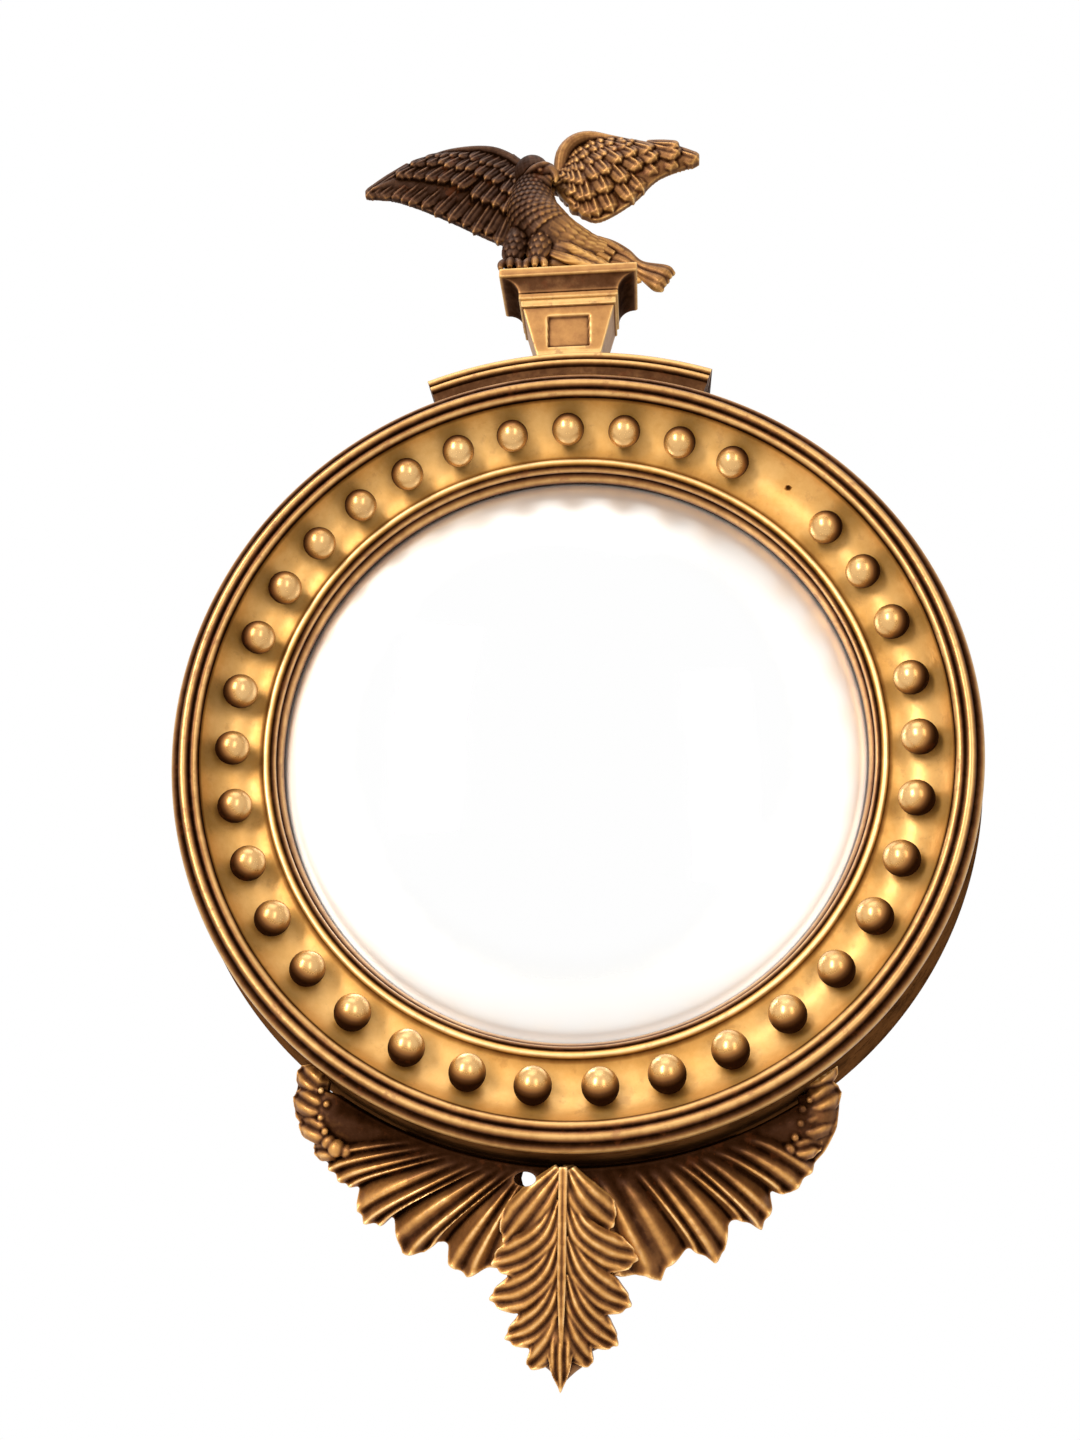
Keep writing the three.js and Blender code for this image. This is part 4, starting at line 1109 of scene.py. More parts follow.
    @staticmethod
    def _screw_tree() -> bpy.types.NodeTree:
        """Builds the tree that drives a screw at each point, its slot turned at random."""
        t = Tree("screws_at_points", {"Places": "NodeSocketObject", "Screw": "NodeSocketObject", "Seed": "NodeSocketInt"})
        places = t.add("GeometryNodeObjectInfo", {"Object": t.input["Places"]}).outputs["Geometry"]
        screw = t.add("GeometryNodeObjectInfo", {"Object": t.input["Screw"]}).outputs["Geometry"]
        turn = t.add("FunctionNodeRandomValue", {
            0: (0, 0, 0), 1: (0, math.pi, 0), "Seed": t.input["Seed"]}, data_type="FLOAT_VECTOR")
        facing = t.add("FunctionNodeEulerToRotation", {0: turn.outputs[0]})
        driven = t.add("GeometryNodeInstanceOnPoints", {
            "Points": places, "Instance": screw, "Rotation": facing.outputs[0]})
        return t.close(driven.outputs[0])

    def screws(self, name: str, size: tuple[float, float, float, float], places: Sequence[Triple],
               finish: bpy.types.Material, seed: int) -> bpy.types.Object:
        """Drives a set of screws.

        Args:
            name: object name.
            size: shank, head, head depth and length.
            places: across, forward and up of each head.
            finish: material.
            seed: fixes how the slots are turned.
        Returns:
            The screws as one mesh.
        """
        points = mesh_object("places", [spot(*p) for p in places], [])
        template = self.screw(size)
        made = grown(name, self._screw_tree(), {"Places": points, "Screw": template, "Seed": seed, "Finish": finish})
        discard(points, template)
        smooth(made, 30)
        return made

    def hanger_plate(self, finish: bpy.types.Material) -> bpy.types.Object:
        """Cuts the brass plate with clipped corners and its rolled knuckle."""
        half, foot, top, back, thick = self.plate
        clip = 2.5
        corners = [(-half + clip, foot), (half - clip, foot), (half, foot + clip), (half, top - clip),
                   (half - clip, top), (-half + clip, top), (-half, top - clip), (-half, foot + clip)]
        made = mesh_object("hanger_plate_cut", *loft([[spot(x, f, z) for x, z in corners] for f in (back, back + thick)]))
        face_out(made)
        height, forward = self.pivot
        bore = self.wire + FIT

        def roller(radius: float, length: float) -> bpy.types.Object:
            """A round bar along the pivot."""
            rings = [[spot(x, forward + radius * math.cos(math.tau * j / 28), height + radius * math.sin(math.tau * j / 28))
                      for j in range(28)] for x in (-length, length)]
            bar = mesh_object("roller", *loft(rings))
            face_out(bar)
            return bar

        roll = roller(bore + self.knuckle[1], self.knuckle[0])
        modifier = made.modifiers.new("join", "BOOLEAN")
        modifier.operation = "UNION"
        modifier.solver = "EXACT"
        modifier.object = roll
        settle(made)
        discard(roll)
        cut(made, [roller(bore, half), *self.holes(self.hanger_screw, self.hanger_places())])
        bevel = made.modifiers.new("eased_edges", "BEVEL")
        bevel.width = 0.25 * MM
        bevel.segments = 2
        bevel.limit_method = "ANGLE"
        settle(made)
        smooth(made, 30)
        made.data.materials.append(finish)
        return made

    def hanging_ring(self, finish: bpy.types.Material) -> bpy.types.Object:
        """Bends the D-shaped ring that turns in the knuckle."""
        half, drop = self.loop
        height, forward = self.pivot
        bow, bar = 48, 14
        path = [np.array([half * math.cos(math.pi * k / bow), -drop * math.sin(math.pi * k / bow)]) for k in range(bow + 1)]
        path += [np.array([-half + 2 * half * k / bar, 0.0]) for k in range(1, bar)]
        count, sides = len(path), 16
        points, faces = [], []
        for k, here in enumerate(path):
            arrives, leaves = unit(here - path[k - 1]), unit(path[(k + 1) % count] - here)
            along = unit(arrives + leaves)
            mitre = min(1 / max(along @ leaves, 0.3), 1.5)
            out = np.array([along[1], -along[0]]) * mitre
            for j in range(sides):
                a = math.tau * j / sides
                x, z = here + out * self.wire * math.cos(a)
                points.append(spot(x, forward + self.wire * math.sin(a), height + z))
        for k in range(count):
            for j in range(sides):
                a, b = k * sides + j, k * sides + (j + 1) % sides
                c, d = (k + 1) % count * sides + (j + 1) % sides, (k + 1) % count * sides + j
                faces.append([a, b, c, d])
        made = mesh_object("hanging_ring_bent", points, faces)
        face_out(made)
        smooth(made, 50)
        made.data.materials.append(finish)
        return made


def close_poles(made: bpy.types.Object) -> None:
    """Draws the small open circles at a turned plate's centre together and closes them."""
    work = bmesh.new()
    work.from_mesh(made.data)
    near = [v for v in work.verts if math.hypot(v.co.x, v.co.z) < 6.5 * MM]
    rings: dict[float, list[bmesh.types.BMVert]] = {}
    for vert in near:
        rings.setdefault(round(vert.co.y, 5), []).append(vert)
    work.verts.index_update()
    bridged = [f for f in work.faces if all(v in near for v in f.verts) and len({round(v.co.y, 5) for v in f.verts}) > 1]
    bmesh.ops.delete(work, geom=bridged, context="FACES_ONLY")
    edges = [e for e in work.edges if e.is_boundary]
    bmesh.ops.edgeloop_fill(work, edges=edges)
    bmesh.ops.recalc_face_normals(work, faces=work.faces)
    work.to_mesh(made.data)
    work.free()


# ---------------------------------------------------------------- cresting and plinth


@dataclass
class CrestArch:
    """The reeded segment that rides on the ring and carries the plinth."""

    ring: TurnedRing
    half_angle: float = 21.0
    back: float = 12.0
    front: float = 48.0
    bottom: float = 320.3
    band: float = 5.0
    reed: float = 6.6
    reed_rise: float = 4.0

    @property
    def top(self) -> float:
        """Radius of its crown."""
        return self.bottom + self.band + 2 * self.reed

    def build(self, lathe: Lathe, finish: bpy.types.Material) -> bpy.types.Object:
        """Bends the moulding along its arc.

        Args:
            lathe: sweeps the outline.
            finish: material.
        Returns:
            The cresting.
        """
        splay = (self.ring.carcass_back - self.ring.carcass_front[0]) / self.ring.carcass_front[1]

        def under(forward: float) -> float:
            """Radius of the ring's side below the arch."""
            return self.ring.carcass_back - splay * forward + FIT

        # low wear on the underside and at the roots of the reeds: painted shade in the recess between the arch and the
        # ring
        outline = Outline().to(self.top, self.back, 0.3).to(under(self.back), self.back, 0.15)
        outline.to(under(self.front - 1), self.front - 1, 0.05).to(under(self.front) + 0.8, self.front, 0.3)
        face = self.bottom + self.band
        outline.to(face - 1.0, self.front, 0.3).to(face, self.front, 0.02)
        outline.reed((face + self.reed, self.front), self.reed_rise, 0.9, 0.06)
        outline.reed((self.top, self.front), self.reed_rise, 1.0, 0.06)
        return lathe.turn("crest_arch_bent", outline, finish, 96, (90 - self.half_angle, 2 * self.half_angle))


@dataclass
class Plinth:
    """A tapered block with a sunk panel, a neck, and a cap with a hollow under its slab."""

    arch: CrestArch
    back: float = 8.0
    base: Pair = (27.0, 46.0)  # half width and front
    top: Pair = (39.5, 53.0)
    taper: float = 44.5
    neck: Pair = (7.0, 1.8)
    panel: tuple[float, float, float, float] = (18.0, 8.0, 36.0, 1.6)  # half width, foot, top, depth
    lip: Pair = (3.6, 5.0)
    oversail: float = 20.5
    forward: float = 9.0
    hollow: float = 15.0
    slab: float = 8.5
    ease_radius: float = 0.9

    @property
    def foot(self) -> float:
        """Height of the block's foot on the axis."""
        return self.arch.top + FIT

    @property
    def cap_foot(self) -> float:
        """Height of the cap's underside."""
        return self.foot + self.taper + self.neck[0] + FIT

    @property
    def cap_top(self) -> float:
        """Height of the cap's top."""
        return self.cap_foot + self.lip[1] + self.hollow + self.slab

    def _section(self, half: float, front: float) -> list[Pair]:
        """Across and forward of a rectangle with eased corners, finely divided."""
        r = self.ease_radius
        corners = [(-half + r, self.back + r, 180), (-half + r, front - r, 90), (half - r, front - r, 0), (half - r, self.back + r, -90)]
        points: list[Pair] = []
        for k, (x, f, start) in enumerate(corners):
            for a in (0, 30, 60, 90):
                angle = math.radians(start + 90 - a)
                points.append((x + r * math.cos(angle), f + r * math.sin(angle)))
            nx, nf, nstart = corners[(k + 1) % 4]
            angle = math.radians(nstart + 90)
            end = (nx + r * math.cos(angle), nf + r * math.sin(angle))
            start_point = points[-1]
            steps = 56 if k == 1 else 26
            points += [(start_point[0] + (end[0] - start_point[0]) * j / steps,
                        start_point[1] + (end[1] - start_point[1]) * j / steps) for j in range(1, steps)]
        return points

    def body(self, finish: bpy.types.Material) -> bpy.types.Object:
        """Carves the tapered block, its feet scribed to the crown of the arch.

        Args:
            finish: material.
        Returns:
            The block with its neck.
        """
        levels = 40
        rings: Rings = []
        crown = self.arch.top + FIT
        for k in range(levels + 1):
            v = k / levels
            half = self.base[0] + (self.top[0] - self.base[0]) * v
            front = self.base[1] + (self.top[1] - self.base[1]) * v
            ring = []
            for x, f in self._section(half, front):
                low = math.sqrt(crown ** 2 - x ** 2)
                z = low + (self.foot + self.taper - low) * v
                ring.append(spot(x, f - self._sunk(x, f, front, z - self.foot), z))
            rings.append(ring)
        neck_top = self.foot + self.taper + self.neck[0]
        for out, z in ((0.4, neck_top - self.neck[0] + 0.1), (self.neck[1], neck_top - self.neck[0] + 0.5),
                       *((self.neck[1], neck_top - self.neck[0] + 0.5 + 0.93 * j) for j in range(1, 7)),
                       (self.neck[1] - 0.5, neck_top)):
            rings.append([spot(x, f, z) for x, f in self._section(self.top[0] + out, self.top[1] + out)])
        made = mesh_object("plinth_block", *loft(rings))
        return self._dress(made, finish, 0.62)

    def _sunk(self, x: float, forward: float, front: float, height: float) -> float:
        """How deep the panel is cut at a point of the block."""
        half, low, high, depth = self.panel
        if forward < front - 0.01:
            return 0.0
        inside = min(half - abs(x), height - low, high - height)
        return depth * ease(inside, -0.6, 0.9)

    def cap(self, finish: bpy.types.Material) -> bpy.types.Object:
        """Runs the cap: lip, hollow, fillet and slab."""
        lip_half, lip_front = self.top[0] + self.lip[0], self.top[1] + self.lip[0]
        half, front = self.top[0] + self.oversail, self.top[1] + self.forward
        z = self.cap_foot
        profile: list[tuple[float, float, float]] = [(lip_half - 0.5, lip_front - 0.5, z)]
        profile += [(lip_half, lip_front, z + 0.5 + (self.lip[1] - 1) * k / 4) for k in range(5)]
        profile.append((lip_half - 0.4, lip_front - 0.4, z + self.lip[1]))
        steps = 14
        for k in range(1, steps + 1):
            angle = math.pi / 2 * k / steps
            out = 1 - math.cos(angle)
            profile.append((lip_half + (half - 1.5 - lip_half) * out, lip_front + (front - 1.5 - lip_front) * out,
                            z + self.lip[1] + (self.hollow - 0.4) * math.sin(angle)))
        slab = z + self.lip[1] + self.hollow
        profile += [(half - 0.5, front - 0.5, slab), (half, front, slab + 0.6)]
        profile += [(half, front, slab + 0.6 + (self.slab - 1.4) * k / 6) for k in range(1, 7)]
        profile += [(half - 0.8, front - 0.8, self.cap_top)]
        made = mesh_object("plinth_cap_run", *loft([[spot(x, f, h) for x, f in self._section(a, b)] for a, b, h in profile]))
        # the cap's plain faces are set darker than the block's, 0.36 against 0.62: painted shade
        return self._dress(made, finish, 0.36)

    @staticmethod
    def _dress(made: bpy.types.Object, finish: bpy.types.Material, middle: float) -> bpy.types.Object:
        """Faces out, writes wear and painted light, and finishes a plinth piece."""
        face_out(made)
        wear_and_shade_by_relief(made, (3, 0.3), (24, 1.5), middle)
        smooth(made, 32)
        made.data.materials.append(finish)
        return made


# ---------------------------------------------------------------- carving


def combined(name: str, parts: Iterable[bpy.types.Object]) -> bpy.types.Object:
    """Gathers the shells of several helper objects into one mesh and removes the helpers."""
    work = bmesh.new()
    for part in parts:
        work.from_mesh(part.data)
        discard(part)
    mesh = bpy.data.meshes.new(name)
    work.to_mesh(mesh)
    work.free()
    return new_object(name, mesh)


def carved(name: str, parts: Iterable[bpy.types.Object], finish: bpy.types.Material, voxel: float = 0.8,
           soften: int = 2, clear: Iterable[bpy.types.Object] = (), middle: float = 0.5,
           fine: Pair = (4, 0.25), broad: Pair = (40, 1.6)) -> bpy.types.Object:
    """Carves overlapping shells into one solid, as if from one block.

    Args:
        name: object name.
        parts: closed shells.
        finish: material.
        voxel: fineness of the carving in millimetres.
        soften: passes that round the tool cuts, as gesso does.
        clear: cutters for what it must stand clear of.
        middle: wear of a plain face.
        fine: smoothing passes and depth of its narrow ridges.
        broad: smoothing passes and depth of its large forms.
    Returns:
        The carved piece.
    """
    made = combined(name, parts)
    remesh = made.modifiers.new("one_solid", "REMESH")
    remesh.mode = "VOXEL"
    remesh.voxel_size = voxel * MM
    if soften:
        gesso = made.modifiers.new("gesso", "SMOOTH")
        gesso.factor = 0.5
        gesso.iterations = soften
    settle(made)
    cut(made, clear)
    drop_crumbs(made)
    wear_and_shade_by_relief(made, fine, broad, middle)
    smooth(made, 70)
    made.data.materials.clear()
    made.data.materials.append(finish)
    return made


def drop_crumbs(made: bpy.types.Object) -> None:
    """Keeps only the largest connected shell of a carved piece."""
    work = bmesh.new()
    work.from_mesh(made.data)
    work.verts.ensure_lookup_table()
    seen = np.zeros(len(work.verts), bool)
    shells: list[list[bmesh.types.BMVert]] = []
    for start in work.verts:
        if seen[start.index]:
            continue
        seen[start.index] = True
        shell, queue = [start], [start]
        while queue:
            for edge in queue.pop().link_edges:
                for vert in edge.verts:
                    if not seen[vert.index]:
                        seen[vert.index] = True
                        shell.append(vert)
                        queue.append(vert)
        shells.append(shell)
    shells.sort(key=len)
    for shell in shells[:-1]:
        bmesh.ops.delete(work, geom=shell, context="VERTS")
    work.to_mesh(made.data)
    work.free()


def grid_shell(name: str, top: np.ndarray, bottom: np.ndarray) -> bpy.types.Object:
    """Closes the space between two grids of points in metres.

    Args:
        name: object name.
        top: rows by columns by three.
        bottom: the same shape.
    Returns:
        The closed shell.
    """
    rows, columns, _ = top.shape
    points = np.concatenate([top.reshape(-1, 3), bottom.reshape(-1, 3)])
    under = rows * columns
    faces = []
    for i in range(rows - 1):
        for j in range(columns - 1):
            a = i * columns + j
            quad = [a, a + 1, a + columns + 1, a + columns]
            faces += [quad, [under + v for v in reversed(quad)]]
    rim = [j for j in range(columns)] + [i * columns + columns - 1 for i in range(1, rows)]
    rim += [(rows - 1) * columns + j for j in range(columns - 2, -1, -1)] + [i * columns for i in range(rows - 2, 0, -1)]
    for k, a in enumerate(rim):
        b = rim[(k + 1) % len(rim)]
        faces.append([a, under + a, under + b, b])
    made = mesh_object(name, points.tolist(), faces)
    face_out(made)
    return made


def tube(path: Sequence[Sequence[float]], sides: int = 14, steps: int = 24, flat: float = 1.0) -> bpy.types.Object:
    """A round shell along a smooth path of across, forward, up and radius.

    Args:
        path: control points in millimetres.
        sides: points round it.
        steps: rings along it.
        flat: thickness over width.
    Returns:
        The closed shell.
    """
    at = even(path)
    rings = []
    for k in range(steps + 1):
        t = k / steps
        x, f, z, radius = at(t)
        along = unit(at(t + 0.02)[:3] - at(t - 0.02)[:3])
        across = unit(np.cross(along, (0, 1, 0)) if abs(along[1]) < 0.9 else np.cross(along, (1, 0, 0)))
        up = np.cross(across, along)
        rings.append([spot(*(np.array([x, f, z]) + radius * (across * math.cos(a) + up * flat * math.sin(a))))
                      for a in (math.tau * j / sides for j in range(sides))])
    made = mesh_object("tube", *loft(rings))
    face_out(made)
    return made


def egg(centre: Triple, radii: Triple, tilt: Triple = (0, 0, 0)) -> bpy.types.Object:
    """A smooth egg-shaped shell.

    Args:
        centre: across, forward and up.
        radii: half sizes along the same axes.
        tilt: turn about each axis in degrees.
    Returns:
        The closed shell.
    """
    turn = np.array(Euler([math.radians(a) for a in tilt]).to_matrix())
    rings = []
    for i in range(1, 16):
        v = math.pi * i / 16
        ring = []
        for j in range(24):
            a = math.tau * j / 24
            local = np.array([radii[0] * math.sin(v) * math.cos(a), radii[1] * math.sin(v) * math.sin(a), radii[2] * math.cos(v)])
            ring.append(spot(*(np.array(centre) + turn @ local)))
        rings.append(ring)
    made = mesh_object("egg", *loft(rings))
    face_out(made)
    return made


@dataclass
class Tongue:
    """One fluted finger of an acanthus leaf."""

    spine: Sequence[Triple]  # across, forward, up, from root to tip
    half: Sequence[float]  # half width from root to tip
    flutes: float = 3
    hollow: float = 2.6
    crown: float = 3.0
    blunt: float = 0.2
    curl: float = 2.5
    thick: float = 8.0

    def shell(self, floor: float) -> bpy.types.Object:
        """Carves the finger.

        Args:
            floor: lowest forward level of its back.
        Returns:
            The closed shell.
        """
        rows, columns = 48, 40
        u = np.linspace(0, 1, rows + 1)[:, None] * np.ones((1, columns + 1))
        w = np.ones((rows + 1, 1)) * np.linspace(-1, 1, columns + 1)[None, :]
        ridge = (0.5 - 0.5 * np.cos(math.pi * self.flutes * (w + 1))) ** 0.8
        s = u * (1 - self.blunt * w ** 2) * (0.97 + 0.03 * ridge)
        at = even(self.spine)
        centre = at(s)
        run = at(s + 0.02) - at(s - 0.02)
        side = np.stack([run[..., 2], np.zeros_like(s), -run[..., 0]], -1)
        side /= np.linalg.norm(side, axis=-1, keepdims=True)
        half = np.interp(s, np.linspace(0, 1, len(self.half)), self.half)
        lift = self.crown * (1 - w ** 2) * np.sin(math.pi * np.clip(s * 0.8 + 0.15, 0, 1))
        lift += self.hollow * ridge * np.clip(0.5 + s, 0, 1)
        lift += self.curl * np.clip((u - 0.86) / 0.14, 0, 1) ** 2
        top = centre + side * (w * half)[..., None]
        top[..., 1] += lift
        bottom = top.copy()
        bottom[..., 1] = np.maximum(top[..., 1] - self.thick, floor)
        return grid_shell("tongue", to_metres(top), to_metres(bottom))


def to_metres(points: np.ndarray) -> np.ndarray:
    """Across, forward, up in millimetres as Blender points in metres."""
    return points * np.array([MM, -MM, MM])


@dataclass
class LeafApron:
    """Two side leaves and a pendant leaf under the ring, with the block they are nailed to."""

    ring: TurnedRing
    back: float = 24.3
    tuck: float = 314.0

    def ring_space(self) -> bpy.types.Object:
        """The splayed ring with its clearance, as a cutter."""
        ring = self.ring
        splay = (ring.carcass_back - ring.carcass_front[0]) / ring.carcass_front[1]
        rings = []
        for forward in (-5.0, 90.0):
            radius = ring.carcass_back - splay * forward + FIT
            rings.append([spot(radius * math.cos(math.tau * j / 360), forward, radius * math.sin(math.tau * j / 360))
                          for j in range(360)])
        made = mesh_object("ring_space", *loft(rings))
        face_out(made)
        return made

    def side_leaf(self, leaf: "SideLeaf", finish: bpy.types.Material,
                  clear: Iterable[bpy.types.Object]) -> bpy.types.Object:
        """Carves one side leaf.

        Args:
            leaf: its shape.
            finish: material.
            clear: cutters besides the ring.
        Returns:
            The leaf.
        """
        shells = [leaf.fan(self.tuck, self.back), tube(leaf.roll, 18, 24), *(tip.shell(self.back) for tip in leaf.tips)]
        shells += [egg(bead, (radius, radius, radius)) for *bead, radius in leaf.beads]
        made = carved(leaf.name, shells, finish, 0.79, 1, [self.ring_space(), *clear], 0.47, (10, 0.5), (70, 3.0))
        retone(made, shade_under_ring)
        return made


def retone(made: bpy.types.Object, rule: Callable[[np.ndarray, np.ndarray, np.ndarray], tuple[object, object]]) -> None:
    """Scales and raises the wear of a piece from place to place.

    Args:
        made: the piece.
        rule: takes across, forward and up of every point, and gives a factor and what to add.
    """
    count = len(made.data.vertices)
    co, wear = np.empty(count * 3), np.empty(count)
    made.data.vertices.foreach_get("co", co)
    layer = made.data.attributes[WEAR_AND_SHADE].data
    layer.foreach_get("value", wear)
    factor, lift = rule(co[0::3] / MM, -co[1::3] / MM, co[2::3] / MM)
    layer.foreach_set("value", np.clip(wear * factor + lift, 0, 1).astype(np.float32))


def shade_under_ring(x: np.ndarray, forward: np.ndarray, z: np.ndarray) -> tuple[np.ndarray, float]:
    """Wear of a side leaf: painted shade beside the ring, where its shadow falls, and lighter at its far end."""
    clear_of_ring_shade = np.maximum(np.clip((np.hypot(x, z) - 316) / 30, 0, 1), np.clip((np.abs(x) - 158) / 14, 0, 1) * 0.85)
    return 0.3 + 0.75 * clear_of_ring_shade, 0.0


def rubbed_flank(x: np.ndarray, forward: np.ndarray, z: np.ndarray) -> tuple[float, np.ndarray]:
    """Wear of the eagle's body: varnished towards the viewer's left, rubbed down the flank to the tail, and darker on
    the head with painted shade.
    """
    return 1.0, 0.46 * np.clip((x + 40) / 44, 0, 1) - 0.13 - 0.08 * np.clip((z - 510) / 12, 0, 1)


@dataclass(frozen=True)
class Lobe:
    """One lobe along a side leaf's edge."""

    start: float  # degrees round from the bottom
    end: float
    ridges: int
    height: float
    tone: float = 1.0  # how strongly it is fluted


@dataclass
class SideLeaf:
    """An acanthus leaf that sweeps outwards from under the ring."""

    name: str
    side: int  # -1 for the viewer's left, 1 for the right
    outline: Sequence[Pair]  # degrees round from the bottom, and reach
    lobes: Sequence[Lobe]
    sweep: Sequence[Pair]  # degrees at the edge, and how far the flutes trail back from there
    roll: Sequence[Sequence[float]]
    tips: Sequence[Tongue]
    beads: Sequence[Sequence[float]]
    flute: float = 5.4
    root: float = 45.0
    swell: float = 9.0
    droop: float = 11.0
    thick: float = 9.0

    def fan(self, tuck: float, floor: float) -> bpy.types.Object:
        """Carves the fluted fan.

        Args:
            tuck: radius of its hidden root.
            floor: forward level of its back.
        Returns:
            The closed shell.
        """
        table = np.array(self.outline)
        edge = np.linspace(table[0, 0], table[-1, 0], 420)[:, None]
        s = np.linspace(0, 1, 72)[None, :]
        ridge, crown = np.zeros_like(edge), np.zeros_like(edge)
        for k, lobe in enumerate(self.lobes):
            inside = (edge >= lobe.start) & (edge <= lobe.end)
            w = np.clip((edge - lobe.start) / (lobe.end - lobe.start), 0, 1)
            uneven = 1 - 0.28 * (0.5 + 0.5 * np.cos(math.tau * (w * lobe.ridges / 2 + 0.37 * k)))
            wave = (0.5 - 0.5 * np.cos(math.tau * lobe.ridges * w)) ** 0.85
            ridge = np.where(inside, wave * uneven * lobe.tone, ridge)
            crown = np.where(inside, lobe.height * (1 - (2 * w - 1) ** 2) ** 0.8, crown)
        reach = np.interp(edge, table[:, 0], table[:, 1]) - 1.2 + 1.6 * ridge
        trail = np.interp(edge, [e for e, _ in self.sweep], [d for _, d in self.sweep])
        angle = np.radians(edge - trail * (1 - s) ** 1.35)
        radius = tuck + (reach - tuck) * s
        grown_in = np.clip((s - 0.02) / 0.3, 0, 1)
        forward = self.root + self.swell * np.sin(math.pi * (0.1 + 0.62 * s)) - self.droop * s ** 2
        forward = forward + self.flute * ridge * (grown_in ** 2 * (3 - 2 * grown_in))
        forward = forward + (crown - 5.5) * np.clip((s - 0.15) / 0.6, 0, 1) ** 1.2
        forward = forward + 2.6 * np.clip((s - 0.9) / 0.1, 0, 1) ** 2
        top = np.stack([self.side * radius * np.sin(angle), forward, -radius * np.cos(angle)], -1)
        bottom = top.copy()
        bottom[..., 1] = np.maximum(top[..., 1] - self.thick - 12 * (1 - s) ** 2, floor)
        return grid_shell("fan", to_metres(top), to_metres(bottom))


LEFT_LEAF = SideLeaf(
    "leaf_left_carved", -1,
    ((3.5, 366), (5.6, 376), (7.8, 381), (9.9, 389), (12.1, 384), (12.5, 374), (13.6, 372), (14.7, 382), (16.8, 387),
     (17.8, 377), (19.2, 368), (19.8, 375), (21.5, 377), (22.7, 373), (23.9, 360), (25.5, 362), (27.6, 357),
     (29.7, 352), (31.7, 345), (34.2, 343), (35.4, 336), (36.7, 325)),
    (Lobe(3.5, 12.9, 4, 7), Lobe(12.9, 18.9, 3, 8), Lobe(18.9, 23.8, 3, 7.5), Lobe(23.8, 29.6, 4, 7), Lobe(29.6, 37, 1, 6, 0.3)),
    ((3, 3), (9, 4.5), (14, 8.5), (20, 10.5), (26, 10.5), (31, 9), (37, 5)),
    ((-184, 36, -254, 6), (-183, 38, -270, 7), (-178, 38, -284, 7), (-169, 38, -295, 6), (-160, 38, -304, 4)),
    (Tongue(((-170, 42, -262), (-177, 46, -261), (-186, 44, -255), (-193, 37, -249)), (5, 9, 9, 5), 2),
     Tongue(((-167, 44, -277), (-176, 49, -276), (-187, 46, -271), (-195, 38, -267)), (5, 9, 9, 5), 2),
     Tongue(((-162, 44, -291), (-171, 49, -292), (-182, 46, -288), (-190, 39, -286)), (5, 9, 9, 5), 2),
     Tongue(((-155, 44, -301), (-163, 48, -304), (-172, 45, -304), (-178, 40, -305)), (4, 7, 8, 5), 2)),
    ((-173, 52, -265, 2.2), (-168, 53, -274, 2.4), (-172, 52, -283, 2.2), (-168, 53, -292, 2.4),
     (-160, 50, -303, 6.0), (-166, 49, -299, 5.0), (-153, 49, -305, 4.5)),
)
RIGHT_LEAF = SideLeaf(
    "leaf_right_carved", 1,
    ((1, 372), (2, 376), (6.2, 383), (7.9, 383), (9.3, 389), (10, 381), (11.7, 376), (12.8, 372), (14.8, 384),
     (16.1, 379), (17.2, 365), (18.3, 363), (20.3, 373), (22.2, 365), (22.8, 355), (24.6, 361), (27, 356),
     (30.1, 349), (32.7, 340), (34.5, 330), (35.9, 318)),
    (Lobe(1, 12.3, 4, 7.5), Lobe(12.3, 17.7, 3, 8), Lobe(17.7, 22.6, 3, 7.5), Lobe(22.6, 28.6, 3, 7), Lobe(28.6, 36, 1, 6, 0.3)),
    ((1, 2.5), (9, 4.5), (15, 5), (22, 5.5), (30, 5), (36, 3)),
    ((174, 36, -250, 6), (175, 38, -264, 8), (170, 38, -278, 8), (161, 38, -290, 7), (152, 38, -302, 5)),
    (Tongue(((160, 42, -257), (168, 46, -255), (178, 44, -248), (185, 37, -241)), (5, 9, 9, 6), 2),
     Tongue(((159, 44, -271), (168, 49, -270), (179, 46, -264), (188, 38, -260)), (5, 9, 10, 6), 2),
     Tongue(((154, 44, -285), (164, 49, -285), (175, 46, -281), (184, 39, -279)), (5, 9, 9, 6), 2),
     Tongue(((147, 44, -297), (156, 48, -299), (166, 45, -297), (173, 40, -298)), (4, 8, 8, 5), 2)),
    ((160, 52, -274, 2.6), (158, 53, -283, 2.4), (154, 52, -292, 2.6), (165, 52, -268, 2.2), (150, 50, -300, 4.0)),
)
PENDANT_OUTLINE = (
    (312, -7, 8), (318, -9, 9), (332, -33, 24), (345, -41, 32), (360, -48, 42), (371, -49, 48), (378, -46, 39),
    (381.5, -34.5, 35), (384.5, -46, 38), (391, -49, 43), (398, -47, 43), (402.5, -30.5, 27), (408, -34, 30),
    (415, -40, 33.5), (420, -34, 33), (427, -23, 17), (432, -22.5, 18), (437, -14, 10), (442, -11, 4),
    (449, -4.5, -1.5),
)
